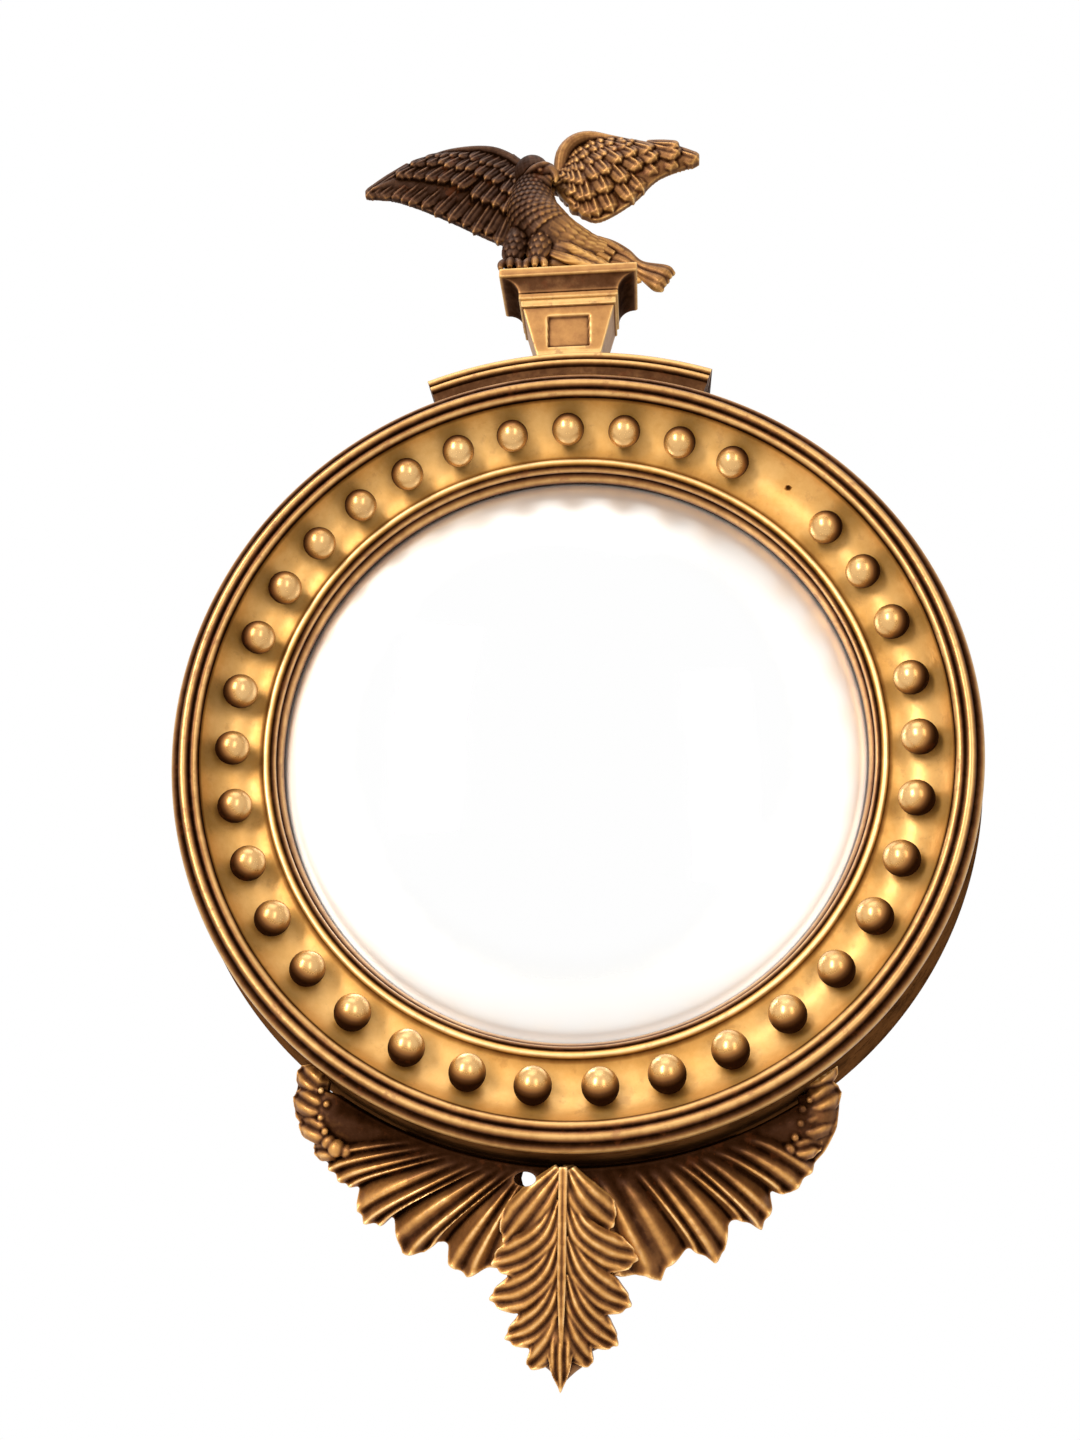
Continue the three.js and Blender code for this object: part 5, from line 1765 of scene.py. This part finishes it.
PENDANT_FINGERS = (
    Tongue(((-3, 62, -314), (-17, 62, -331), (-30, 56, -346), (-42, 50, -360)), (5, 12, 14, 10), 3),
    Tongue(((-4, 62, -333), (-13, 61, -354), (-30, 55, -367), (-50, 48, -374)), (4, 10, 12, 10), 3),
    Tongue(((-4, 61, -356), (-13, 59, -377), (-30, 54, -390), (-51, 47, -395)), (4, 10, 12, 9), 3),
    Tongue(((-3, 60, -379), (-10, 58, -398), (-23, 53, -411), (-40, 48, -418)), (4, 9, 11, 8), 3),
    Tongue(((-3, 58, -399), (-8, 57, -415), (-16, 54, -426), (-25, 50, -434)), (4, 7, 8, 6), 2),
    Tongue(((2, 62, -314), (11, 62, -330), (22, 57, -341), (32, 52, -349)), (5, 12, 14, 12), 3),
    Tongue(((2, 62, -333), (11, 61, -352), (29, 55, -364), (48, 48, -369)), (4, 10, 12, 10), 3),
    Tongue(((1, 61, -355), (10, 59, -375), (25, 54, -389), (43, 47, -397)), (4, 10, 12, 9), 3),
    Tongue(((1, 60, -378), (8, 58, -397), (19, 53, -410), (34, 48, -420)), (4, 9, 11, 8), 3),
    Tongue(((-1, 58, -398), (3, 57, -413), (9, 54, -423), (17, 50, -432)), (4, 7, 8, 6), 2),
    Tongue(((-2, 57, -404), (-3, 58, -422), (-3, 57, -435), (-3, 53, -447)), (5, 8, 8, 5), 3, blunt=0.5),
)


def nail_gap() -> bpy.types.Object:
    """The see-through gap left between two leaves under the ring, as a cutter."""
    rings = [[spot(x + 7.6 * math.cos(math.tau * j / 40), f, z + 4.7 * math.sin(math.tau * j / 40)) for j in range(40)]
             for x, f, z in ((-33.2, 0, -323.9), (-25.2, 80, -319.1))]
    made = mesh_object("gap", *loft(rings))
    face_out(made)
    return made


def pendant_leaf(apron: LeafApron, finish: bpy.types.Material) -> bpy.types.Object:
    """Carves the pendant leaf: a ground, a midrib and fingers on both sides.

    Args:
        apron: gives the back level and the ring to clear.
        finish: material.
    Returns:
        The leaf.
    """
    rows = []
    top_depth, foot_depth = PENDANT_OUTLINE[0][0], PENDANT_OUTLINE[-1][0]
    depths = np.linspace(top_depth, foot_depth - 3, 70)
    table = np.array(PENDANT_OUTLINE)
    for depth in depths:
        left = np.interp(depth, table[:, 0], table[:, 1])
        right = np.interp(depth, table[:, 0], table[:, 2])
        t = (depth - top_depth) / (foot_depth - top_depth)
        middle, half = (left + right) / 2, max((right - left) / 2 - 4, 0.8)
        w = np.linspace(-1, 1, 25)
        ridge, rim = 60 - 8 * t ** 2, 38 + 12 * t ** 3
        forward = ridge - (ridge - rim) * w ** 2
        rows.append(np.stack([middle + half * w, forward, np.full_like(w, -depth)], -1))
    top = np.array(rows)
    bottom = top.copy()
    bottom[..., 1] = apron.back
    ground = grid_shell("ground", to_metres(top), to_metres(bottom))
    ribs = [tube([(-1 + dx, 68, -312, 1.5), (-1.5 + dx, 67.5, -345, 1.4), (-2 + dx, 65, -386, 1.2), (-2.5, 61, -425, 1.0)])
            for dx in (-1.6, 1.6)]
    shells = [ground, *ribs, *(finger.shell(apron.back) for finger in PENDANT_FINGERS)]
    return carved("leaf_centre_carved", shells, finish, 0.74, 1, [apron.ring_space(), nail_gap()], 0.52, (9, 0.5), (60, 3.0))


# ---------------------------------------------------------------- eagle


@dataclass(frozen=True)
class Quill:
    """One feather laid on a surface, in millimetres across, forward and up."""

    root: np.ndarray
    tip: np.ndarray
    out: np.ndarray
    width: float
    thick: float


class Plumage:
    """Lays carved feathers on points with Geometry Nodes."""

    def __init__(self) -> None:
        """Builds the tree once for every part of the bird."""
        t = Tree("feathers_on_points", {"Places": "NodeSocketObject", "Feather": "NodeSocketObject"})
        places = t.add("GeometryNodeObjectInfo", {"Object": t.input["Places"]}).outputs["Geometry"]
        feather = t.add("GeometryNodeObjectInfo", {"Object": t.input["Feather"]}).outputs["Geometry"]
        facing = t.add("FunctionNodeEulerToRotation", {0: t.named("turn")})
        laid = t.add("GeometryNodeInstanceOnPoints", {
            "Points": places, "Instance": feather, "Rotation": facing.outputs[0], "Scale": t.named("size")})
        self.tree = t.close(laid.outputs[0])

    @staticmethod
    def _feather(blunt: float, shaft: float) -> bpy.types.Object:
        """A feather of unit size along X, with a rounded tip, a domed face and a shaft."""
        s = np.linspace(0, 1, 15)[:, None]
        w = np.linspace(-1, 1, 13)[None, :]
        tip = np.clip((s - 1 + blunt) / blunt, 0, 1)
        half = 0.5 * (0.72 + 0.28 * np.sin(math.pi / 2 * np.clip(s / 0.6, 0, 1))) * np.sqrt(np.clip(1 - tip ** 2, 4e-4, 1))
        face = (0.4 + 0.6 * (1 - w ** 2)) * (0.5 + 0.5 * s) * (1 - 0.45 * tip ** 4)
        face = face + shaft * (1 - tip) * (np.exp(-(w / 0.13) ** 2) - 0.8 * np.exp(-((np.abs(w) - 0.3) / 0.13) ** 2))
        top = np.stack([s + 0 * w, half * w, face], -1)
        bottom = top.copy()
        bottom[..., 2] = -0.7
        return grid_shell("feather", top, bottom)

    def lay(self, quills: Sequence[Quill], blunt: float = 0.4, shaft: float = 0.16) -> bpy.types.Object:
        """Lays one feather for each quill.

        Args:
            quills: where the feathers go.
            blunt: share of the length that rounds off.
            shaft: height of the shaft line over the thickness.
        Returns:
            The feathers as one mesh.
        """
        turns, sizes = [], []
        mirror = np.array([1, -1, 1])
        for quill in quills:
            along = (quill.tip - quill.root) * mirror
            x = unit(along)
            out = quill.out * mirror
            z = unit(out - (out @ x) * x)
            turns += list(Matrix(np.stack([x, np.cross(z, x), z], 1).tolist()).to_euler("XYZ"))
            sizes += [float(np.linalg.norm(along)) * MM, quill.width * MM, quill.thick * MM]
        places = mesh_object("places", [spot(*quill.root) for quill in quills], [])
        for name, values in (("turn", turns), ("size", sizes)):
            places.data.attributes.new(name, "FLOAT_VECTOR", "POINT").data.foreach_set("vector", values)
        feather = self._feather(blunt, shaft)
        made = grown("feathers", self.tree, {"Places": places, "Feather": feather})
        discard(places, feather)
        return made


@dataclass(frozen=True)
class FeatherRow:
    """One row of feathers across a wing."""

    count: int
    start: float  # share of the chord where the roots lie
    end: float  # share of the chord where the tips lie
    width: float
    thick: float
    lift: float  # how far the tips stand off the wing
    first: float = 0.0  # share of the span where the row begins, from the wing tip
    last: float = 1.0
    blunt: float = 0.4


@dataclass
class Wing:
    """A raised wing between its leading and trailing edges, each from the tip to the body."""

    name: str
    lead: Sequence[Triple]  # across, forward, up over the perch
    trail: Sequence[Triple]
    rows: Sequence[FeatherRow]
    band: Sequence[Sequence[float]]  # the smooth leading edge: across, forward, up, radius
    perch: float
    swept: float = 0.3
    front: float = 1.6
    crown: float = 6.0
    thick: float = 5.0
    wear: float = 0.44
    seed: int = 11

    def _at(self, lead_place: float, trail_place: float, v: float) -> np.ndarray:
        """A point of the wing's face between a place on each edge."""
        point = through(self.lead, lead_place) * (1 - v) + through(self.trail, trail_place) * v
        point[1] += self.front + self.crown * math.sin(math.pi * min(max(v, 0.0), 1.0))
        point[2] += self.perch
        return point

    def feather_place(self, a: float, v: float) -> np.ndarray:
        """A point on the swept line that ends at share a of the trailing edge."""
        return self._at(self.swept + (1 - self.swept) * a, a, v)

    def _slab(self) -> bpy.types.Object:
        """The thin wood that the feathers are cut on."""
        top = np.array([[self._at(u, u, v) for v in np.linspace(0.03, 0.985, 22)] for u in np.linspace(0.04, 1, 40)])
        bottom = top.copy()
        bottom[..., 1] -= self.thick
        return grid_shell("slab", to_metres(top), to_metres(bottom))

    def build(self, plumage: Plumage, finish: bpy.types.Material) -> bpy.types.Object:
        """Carves the wing.

        Args:
            plumage: lays the feathers.
            finish: material.
        Returns:
            The wing.
        """
        chance = np.random.default_rng(self.seed)
        shells = [self._slab(), tube([(x, f, z + self.perch, r) for x, f, z, r in self.band], 14, 30)]
        for number, row in enumerate(self.rows):
            quills = []
            for k in range(row.count):
                share = (k + (0.5 if number % 2 else 0.0)) / max(row.count - 1, 1)
                a = row.first + (row.last - row.first) * min(share, 1.0)
                root = self.feather_place(a, row.start + 0.03 * chance.normal())
                tip = self.feather_place(min(a + 0.01 * chance.normal(), 1), row.end + 0.015 * chance.normal())
                tip[1] += row.lift
                quills.append(Quill(root, tip, np.array([0.0, 1.0, 0.0]), row.width * (1 + 0.06 * chance.normal()), row.thick))
            shells.append(plumage.lay(quills, row.blunt))
        return carved(self.name, shells, finish, 0.75, 1, (), self.wear, (6, 0.35), (40, 1.8))


@dataclass
class Eagle:
    """The perched eagle: body and head, two raised wings, and the tail that hangs past the cap."""

    perch: float
    trunk: tuple[tuple[float, float, float, float], ...] = (
        (34, 24, 42, 7), (20, 25, 44, 12), (4, 28, 46, 17), (-14, 32, 52, 22), (-27, 36, 64, 24.5), (-33, 38, 80, 22.5),
        (-33.5, 40, 96, 17.5), (-33, 41, 108, 14), (-33, 42, 121, 13.5), (-33, 42, 130, 11), (-33, 42, 136, 5))
    leg: tuple[tuple[float, float, float, float], ...] = ((6, -8, 56, 11), (3, -3, 38, 12), (1, 0, 24, 9.5), (0, 1, 12, 6.5),
                                                         (0, 2, 4, 6.0))
    legs: Pair = (-51.0, -29.0)
    leg_forward: float = 45.0
    toe: float = 15.0

    def raised(self, path: Sequence[Sequence[float]]) -> list[tuple[float, ...]]:
        """A path over the perch, as one over the axis of the mirror."""
        return [(x, f, z + self.perch, *rest) for x, f, z, *rest in path]

    def _shin(self, x: float, across: float, height: float, out: float) -> np.ndarray:
        """A point on the front of a leg, by its share of the half width and its height over the perch."""
        table = np.array(self.leg)[::-1]
        dx, df, radius = (np.interp(height, table[:, 2], table[:, k]) for k in (0, 1, 3))
        return np.array([x + dx + across * radius, self.leg_forward + df + out + radius * math.sqrt(1 - across ** 2),
                         self.perch + height])

    def _scales(self) -> list[Quill]:
        """Short feathers down the breast in offset rows."""
        at = even(self.raised(self.trunk))
        quills = []
        breast = [(t, 0.066, 13, 1.7) for t in np.arange(0.83, 0.46, -0.036)]
        flank = [(t, 0.17, 11, 1.3) for t in np.arange(0.46, 0.16, -0.07)]
        for row, (t, length, count, spread) in enumerate(breast + flank):
            here, below = at(t), at(t - length)
            along = unit(at(t + 0.03)[:3] - at(t - 0.03)[:3])
            ahead = unit(np.array([0, 1.0, 0]) - along[1] * along)
            side = np.cross(along, ahead)
            for k in range(count):
                turn = math.radians(-96 + 192 * (k + 0.5 * (row % 2)) / count)
                out = ahead * math.cos(turn) + side * math.sin(turn)
                root = here[:3] + out * (here[3] - 0.6)
                tip = below[:3] + out * (below[3] + 1.1)
                quills.append(Quill(root, tip, out, spread * math.pi * here[3] / count, 1.7))
        ahead = np.array([0.0, 1.0, 0.0])
        for row, (start, run, count) in enumerate((((-24, 47, 46), (32, -3, -16), 9), ((-18, 46, 28), (28, -3, -11), 10))):
            for k in range(count):
                root = np.array(start) + np.array([6.0, -1.5, -3.0 + 1.6 * row]) * k + np.array([0, 0, self.perch])
                quills.append(Quill(root, root + np.array(run), ahead, 9.0, 2.6))
        for x in self.legs:
            for number, height in enumerate(np.arange(52, 20, -7)):
                for dx in (-0.8, -0.28, 0.24, 0.76) if number % 2 else (-0.55, 0.0, 0.55):
                    root, tip = (self._shin(x, dx, h, out) for h, out in ((height + 5, -1.4), (height - 12, 0.7)))
                    quills.append(Quill(root, tip, np.array([dx, 1.0, 0.0]), 7.4, 1.5))
        return quills

    def _head(self) -> list[bpy.types.Object]:
        """Skull, cheek, brow, eye and hooked beak, turned a little to the viewer's right."""
        p = self.perch
        shells = [egg((-34, 44, p + 118), (16.5, 13.5, 18), (0, -8, 0)), egg((-26, 50, p + 102), (11, 7, 5.5), (0, 16, 0)),
                  egg((-25.5, 57.2, p + 109.2), (2.6, 2.2, 2.2))]
        for path in ([(-40, 54, 107, 1.4), (-32, 57.5, 111, 2.8), (-22, 57.5, 114.5, 3.0), (-14, 53, 116.5, 1.6)],
                     [(-26, 50, 111, 7), (-19, 53, 111.5, 6), (-14, 54, 109, 4.4), (-11.5, 53.5, 103, 2.8), (-12, 53, 98, 0.8)],
                     [(-25, 50, 104, 5), (-18, 53, 103, 3.2), (-15, 53.5, 101, 1.2)]):
            shells.append(tube(self.raised(path), 16, 20))
        return shells

    def body(self, plumage: Plumage, finish: bpy.types.Material) -> bpy.types.Object:
        """Carves trunk, head, thighs, legs and talons.

        Args:
            plumage: lays the scales.
            finish: material.
        Returns:
            The body.
        """
        shells = [tube(self.raised(self.trunk), 32, 60), *self._head(), plumage.lay(self._scales(), 0.6, 0.1)]
        for x in self.legs:
            shells.append(tube(self.raised([(x + dx, self.leg_forward + df, h, r) for dx, df, h, r in self.leg]), 20, 30))
            for turn in (-34, 0, 34):
                across, ahead = math.sin(math.radians(turn)), math.cos(math.radians(turn))
                path = [(x + across * d, self.leg_forward + ahead * d, h, r)
                        for d, h, r in ((2, 15, 4.2), (self.toe * 0.6, 13, 3.9), (self.toe * 0.95, 7.5, 3.5), (self.toe, 2.2, 2.2))]
                shells.append(tube(self.raised(path), 12, 16))
            shells.append(tube(self.raised([(x, self.leg_forward, 5, 4), (x - 1, self.leg_forward - 9, 3, 2.6)]), 12, 10))
        shells += [egg((-38, 32, self.perch + 36), (21, 12, 30)), egg((6, 33, self.perch + 26), (20, 8, 16), (0, 20, 0)),
                   egg((-10, 37, self.perch + 34), (15, 9, 20), (0, 12, 0)), egg((22, 32, self.perch + 22), (13, 6, 10), (0, 24, 0))]
        made = carved("eagle_body_carved", shells, finish, 0.75, 1, (), 0.42, (6, 0.4), (50, 2.2))
        retone(made, rubbed_flank)
        return made

    def tail(self, finish: bpy.types.Material) -> bpy.types.Object:
        """Carves the tail, waisted and then flared into rounded tips."""
        upper = ((4, 25, 58), (32, 26, 52), (50, 27, 40), (64, 28, 26), (86, 30, 15), (94, 30, 11))
        lower = ((0, 24, 44), (27, 25, 34), (49, 26, 25), (62, 27, 13), (77, 30, -2), (82, 30, -8))
        radii = (6.5, 5.2, 4.2, 2.8, 5.6, 1.6)
        shells = []
        for k, v in enumerate((0.04, 0.27, 0.5, 0.73, 0.96)):
            path = []
            for high, low, radius in zip(upper, lower, radii):
                x, f, z = np.array(high) * (1 - v) + np.array(low) * v
                path.append((x, f + (1.6 if k % 2 else 0.0), z, radius))
            shells.append(tube(self.raised(path), 16, 40, 0.8))
        covert = [((6, 31, 50, 5.5), (24, 32, 44, 4.6), (40, 31, 35, 2.6)), ((14, 31, 54, 5), (32, 31, 48, 4), (48, 30, 38, 2.4)),
                  ((4, 31, 42, 5), (22, 31, 38, 4.4), (36, 30, 30, 2.6))]
        shells += [tube(self.raised(path), 14, 24, 0.8) for path in covert]
        return carved("eagle_tail_carved", shells, finish, 0.7, 1, (), 0.5, (8, 0.45), (40, 2.0))

    def left_wing(self) -> Wing:
        """The wing on the viewer's left: long narrow feathers swept to the tip."""
        return Wing(
            "eagle_wing_left_carved",
            ((-187, 44, 104), (-153, 41, 132), (-115, 36, 154), (-73, 30, 160), (-46, 27, 144), (-33, 26, 120)),
            ((-188, 44, 101), (-165, 42, 99), (-139, 40, 89), (-106, 36, 73), (-74, 31, 57), (-40, 26, 44)),
            (FeatherRow(15, 0.25, 1.01, 14, 4.0, 0.6, blunt=0.17), FeatherRow(14, 0.12, 0.68, 13, 4.0, 2.4, 0.05, 1.0, 0.2),
             FeatherRow(15, 0.02, 0.46, 11, 3.4, 3.2, 0.07, 1.0, 0.3), FeatherRow(17, 0.04, 0.29, 9, 3.0, 3.4, 0.1, 0.93, 0.4)),
            ((-172, 44, 115, 2.6), (-140, 42, 138, 3.4), (-112, 39, 152, 4.2), (-75, 34, 156.5, 4.8), (-50, 31, 144, 5.0),
             (-38, 31, 128, 4.5)),
            self.perch, wear=0.28)

    def right_wing(self) -> Wing:
        """The wing on the viewer's right: a rolled leading edge, scales, and rows of blunt tips."""
        return Wing(
            "eagle_wing_right_carved",
            ((118, 46, 124), (94, 43, 134), (55, 38, 151), (17, 32, 164), (1, 29, 157), (-8, 27, 143), (-22, 25, 130)),
            ((119, 46, 116), (82, 42, 106), (58, 38, 84), (27, 32, 70), (9, 29, 81), (-2, 27, 102), (-22, 25, 114)),
            (FeatherRow(13, 0.22, 1.0, 17, 6.0, 0.4, blunt=0.17), FeatherRow(11, 0.3, 0.82, 17, 6.2, 2.6, 0.0, 0.9, 0.2),
             FeatherRow(11, 0.14, 0.62, 15, 5.4, 3.8, 0.0, 0.92, 0.24), FeatherRow(15, 0.2, 0.42, 10, 3.8, 4.0, 0.1, 0.95, 0.5),
             FeatherRow(15, 0.1, 0.3, 9.5, 3.4, 4.0, 0.1, 0.95, 0.5), FeatherRow(15, 0.02, 0.19, 9.0, 3.2, 4.0, 0.1, 0.95, 0.5)),
            ((64, 41, 148, 2.6), (40, 40, 156, 3.6), (18, 38, 162.5, 5.4), (3, 37, 158, 6.8), (-6, 36, 146, 7.2), (-9, 34, 130, 6.4),
             (-9, 32, 112, 5.4), (-2, 33, 98, 4.4), (6, 34, 88, 3.6)),
            self.perch, seed=17)


# ---------------------------------------------------------------- studio


@dataclass
class Studio:
    """Camera, soft lamps, pale floor and white surroundings."""

    camera_at: Triple = (55.34, 888.6, -271.03)  # across, forward, up
    right: Triple = (0.9961, 0.0876, 0.0098)
    up: Triple = (0.0182, -0.3135, 0.9494)
    ahead: Triple = (-0.0863, 0.9456, 0.3138)
    focal: float = 1155.18 / 1440 * 36
    floor_height: float = -700.0
    surroundings: float = 0.35

    def camera(self) -> bpy.types.Object:
        """Sets the camera where the view was taken from."""
        lens = bpy.data.cameras.new("view")
        lens.sensor_fit = "VERTICAL"
        lens.sensor_height = 36
        lens.lens = self.focal
        lens.clip_end = 60
        made = bpy.data.objects.new("view", lens)
        bpy.context.scene.collection.objects.link(made)
        turn = Matrix((self.right, self.up, tuple(-a for a in self.ahead))).transposed().to_4x4()
        made.matrix_world = Matrix.Translation(spot(*self.camera_at)) @ turn
        bpy.context.scene.camera = made
        return made

    @staticmethod
    def lamp(name: str, at: Triple, size: Pair, watts: float, colour: str = "ffffff") -> bpy.types.Object:
        """Hangs a soft rectangular lamp that faces the mirror.

        Args:
            name: object name.
            at: across, forward and up in millimetres.
            size: width and height in metres.
            watts: power.
            colour: sRGB colour of its light.
        Returns:
            The lamp.
        """
        light = bpy.data.lights.new(name, "AREA")
        light.shape = "RECTANGLE"
        light.size, light.size_y = size
        light.energy = watts
        light.color = linear(colour)[:3]
        made = bpy.data.objects.new(name, light)
        bpy.context.scene.collection.objects.link(made)
        place = Vector(spot(*at))
        made.matrix_world = Matrix.Translation(place) @ (-place).to_track_quat("-Z", "Y").to_matrix().to_4x4()
        return made

    def world(self) -> None:
        """White surroundings for the camera and for reflections, softer for plain light."""
        world = bpy.data.worlds.new("surroundings")
        world.use_nodes = True
        bpy.context.scene.world = world
        tree = world.node_tree
        tree.nodes.clear()
        rays = tree.nodes.new("ShaderNodeLightPath")
        seen = None
        for ray in ("Is Camera Ray", "Is Glossy Ray", "Is Transmission Ray"):
            if seen is None:
                seen = rays.outputs[ray]
                continue
            either = tree.nodes.new("ShaderNodeMath")
            either.operation = "MAXIMUM"
            tree.links.new(seen, either.inputs[0])
            tree.links.new(rays.outputs[ray], either.inputs[1])
            seen = either.outputs[0]
        strength = tree.nodes.new("ShaderNodeMapRange")
        strength.inputs["To Min"].default_value = self.surroundings
        strength.inputs["To Max"].default_value = 1.0
        tree.links.new(seen, strength.inputs["Value"])
        light = tree.nodes.new("ShaderNodeBackground")
        light.inputs["Color"].default_value = (1, 1, 1, 1)
        tree.links.new(strength.outputs[0], light.inputs["Strength"])
        output = tree.nodes.new("ShaderNodeOutputWorld")
        tree.links.new(light.outputs[0], output.inputs["Surface"])

    def floor(self) -> bpy.types.Object:
        """A plain pale floor that keeps the shadow near the mirror and fades to white beyond."""
        size, rings, sides = 9000.0, 24, 64
        points, faces = [], []
        for i in range(rings + 1):
            radius = size * (i / rings) ** 2 + 1
            points += [spot(radius * math.cos(math.tau * j / sides), radius * math.sin(math.tau * j / sides), self.floor_height)
                       for j in range(sides)]
        for i in range(rings):
            for j in range(sides):
                k = (j + 1) % sides
                faces.append([i * sides + j, i * sides + k, (i + 1) * sides + k, (i + 1) * sides + j])
        faces.append(list(range(sides)))
        made = mesh_object("floor", points, faces)
        s = Shader("pale_plaster_floor")
        radius = s.add("ShaderNodeVectorMath", {0: s.place}, operation="LENGTH").outputs["Value"]
        rays = s.add("ShaderNodeLightPath")
        seen = s.maths("MAXIMUM", rays.outputs["Is Camera Ray"], rays.outputs["Is Glossy Ray"])
        seen = s.maths("MAXIMUM", seen, rays.outputs["Is Transmission Ray"])
        share = s.maths("MULTIPLY", seen, s.spread(radius, 0.5, 0.95))
        tone = s.blend(s.noise(220, 3), linear("efeeec"), linear("f6f5f3"))
        plain = s.add("ShaderNodeBsdfPrincipled", {"Base Color": tone, "Roughness": 0.75})
        white = s.add("ShaderNodeEmission", {"Color": (1, 1, 1, 1), "Strength": 1.0})
        mixed = s.add("ShaderNodeMixShader", {0: share, 1: plain.outputs[0], 2: white.outputs[0]})
        s.tree.links.new(mixed.outputs[0], s.output.inputs["Surface"])
        made.data.materials.append(s.material)
        return made

    def build(self) -> None:
        """Sets up the whole studio."""
        bpy.context.scene.view_settings.view_transform = "Standard"
        self.camera()
        self.world()
        self.floor()
        self.lamp("key_window", (-1050, 1850, 700), (0.5, 1.5), 45, "fffaf2")
        self.lamp("fill_window", (900, 2000, 350), (0.45, 1.5), 13, "fff8ee")
        self.lamp("ceiling_bounce", (-200, 600, 1900), (1.4, 1.2), 12)


# ---------------------------------------------------------------- assembly


def keep(piece: bpy.types.Object, slot: Slot, nodes: Iterable[str], body: str = FRAME_BODY) -> None:
    """Hands a finished piece to the frame.

    Args:
        piece: the piece.
        slot: material slot of the record; not used.
        nodes: solids that it stands for.
        body: the body it moves with.
    """
    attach(piece, body)
    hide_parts(*nodes)
    log.info("%s: %d faces, for %s", piece.name, len(piece.data.polygons), ", ".join(nodes))


def refinish(node: str, finish: bpy.types.Material) -> None:
    """Gives a carried-over solid its finish."""
    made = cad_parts[node]
    made.data.materials.clear()
    made.data.materials.append(finish)
    log.info("%s: finished as %s", node, finish.name)


def main() -> None:
    """Builds the mirror, piece by piece, and reports each."""
    logging.basicConfig(level=logging.INFO, format="%(name)s %(message)s")
    finishes = Finishes()
    finish = {name: getattr(finishes, name).material() for name in finishes.__dataclass_fields__}
    Studio().build()
    lathe = Lathe()
    ring = TurnedRing()
    balls = BallSet(ring)
    back = GlassAndBack(ring)
    arch = CrestArch(ring)
    plinth = Plinth(arch)
    apron = LeafApron(ring)

    keep(ring.cove(lathe, finish["cove"], balls), Slot.GILT, ["cove_moulding"])
    keep(ring.rim(lathe, finish["reeds"]), Slot.GILT, ["reeded_rim"])
    keep(ring.slip(lathe, finish["reeds"]), Slot.GILT_WORN, ["reeded_slip"])
    holes = back.holes(back.board_screw, back.board_places()) + back.holes(back.hanger_screw, back.hanger_places())
    keep(ring.carcass(lathe, finish["side"], holes), Slot.OCHRE_WOOD, ["carcass_ring"])
    ball_nodes = [f"ball_{k + 1:02d}" for k in range(balls.places) if k != balls.empty]
    keep(balls.build(finish["balls"]), Slot.GILT_WORN, ball_nodes)
    keep(back.glass(lathe, finish["glass"]), Slot.SILVERED_GLASS, ["mirror_glass"])
    keep(back.packing_ring(lathe, finish["board"]), Slot.BARE_WOOD, ["glass_packing_ring"])
    board = back.backboard(lathe, finish["board"], back.holes(back.board_screw, back.board_places()))
    keep(board, Slot.BARE_WOOD, ["backboard"])
    keep(back.screws("backboard_screws", back.board_screw, back.board_places(), finish["iron"], 3), Slot.IRON,
         [f"backboard_screw_{k + 1}" for k in range(4)])
    keep(back.screws("hanger_screws", back.hanger_screw, back.hanger_places(), finish["iron"], 5), Slot.IRON,
         ["hanger_screw_1", "hanger_screw_2"])
    keep(back.hanger_plate(finish["brass"]), Slot.BRASS, ["hanger_plate"])
    keep(back.hanging_ring(finish["brass"]), Slot.BRASS, ["hanger_ring"], RING_BODY)
    keep(arch.build(lathe, finish["cresting"]), Slot.GILT, ["crest_arch"])
    keep(plinth.body(finish["cresting"]), Slot.GILT, ["plinth_body"])
    keep(plinth.cap(finish["cresting"]), Slot.GILT, ["plinth_cap"])
    keep(apron.side_leaf(LEFT_LEAF, finish["leaves"], [nail_gap()]), Slot.GILT, ["leaf_left"])
    keep(apron.side_leaf(RIGHT_LEAF, finish["leaves"], []), Slot.GILT, ["leaf_right"])
    keep(pendant_leaf(apron, finish["leaves"]), Slot.GILT, ["leaf_centre"])
    refinish("apron_block", finish["side"])
    eagle, plumage = Eagle(plinth.cap_top + FIT), Plumage()
    keep(eagle.body(plumage, finish["eagle"]), Slot.GILT_DARK, ["eagle_body"])
    keep(eagle.left_wing().build(plumage, finish["eagle"]), Slot.GILT_DARK, ["eagle_wing_left"])
    keep(eagle.right_wing().build(plumage, finish["wing"]), Slot.GILT_WORN, ["eagle_wing_right"])
    keep(eagle.tail(finish["wing"]), Slot.GILT_WORN, ["eagle_tail"])


if __name__ == "__main__":
    main()
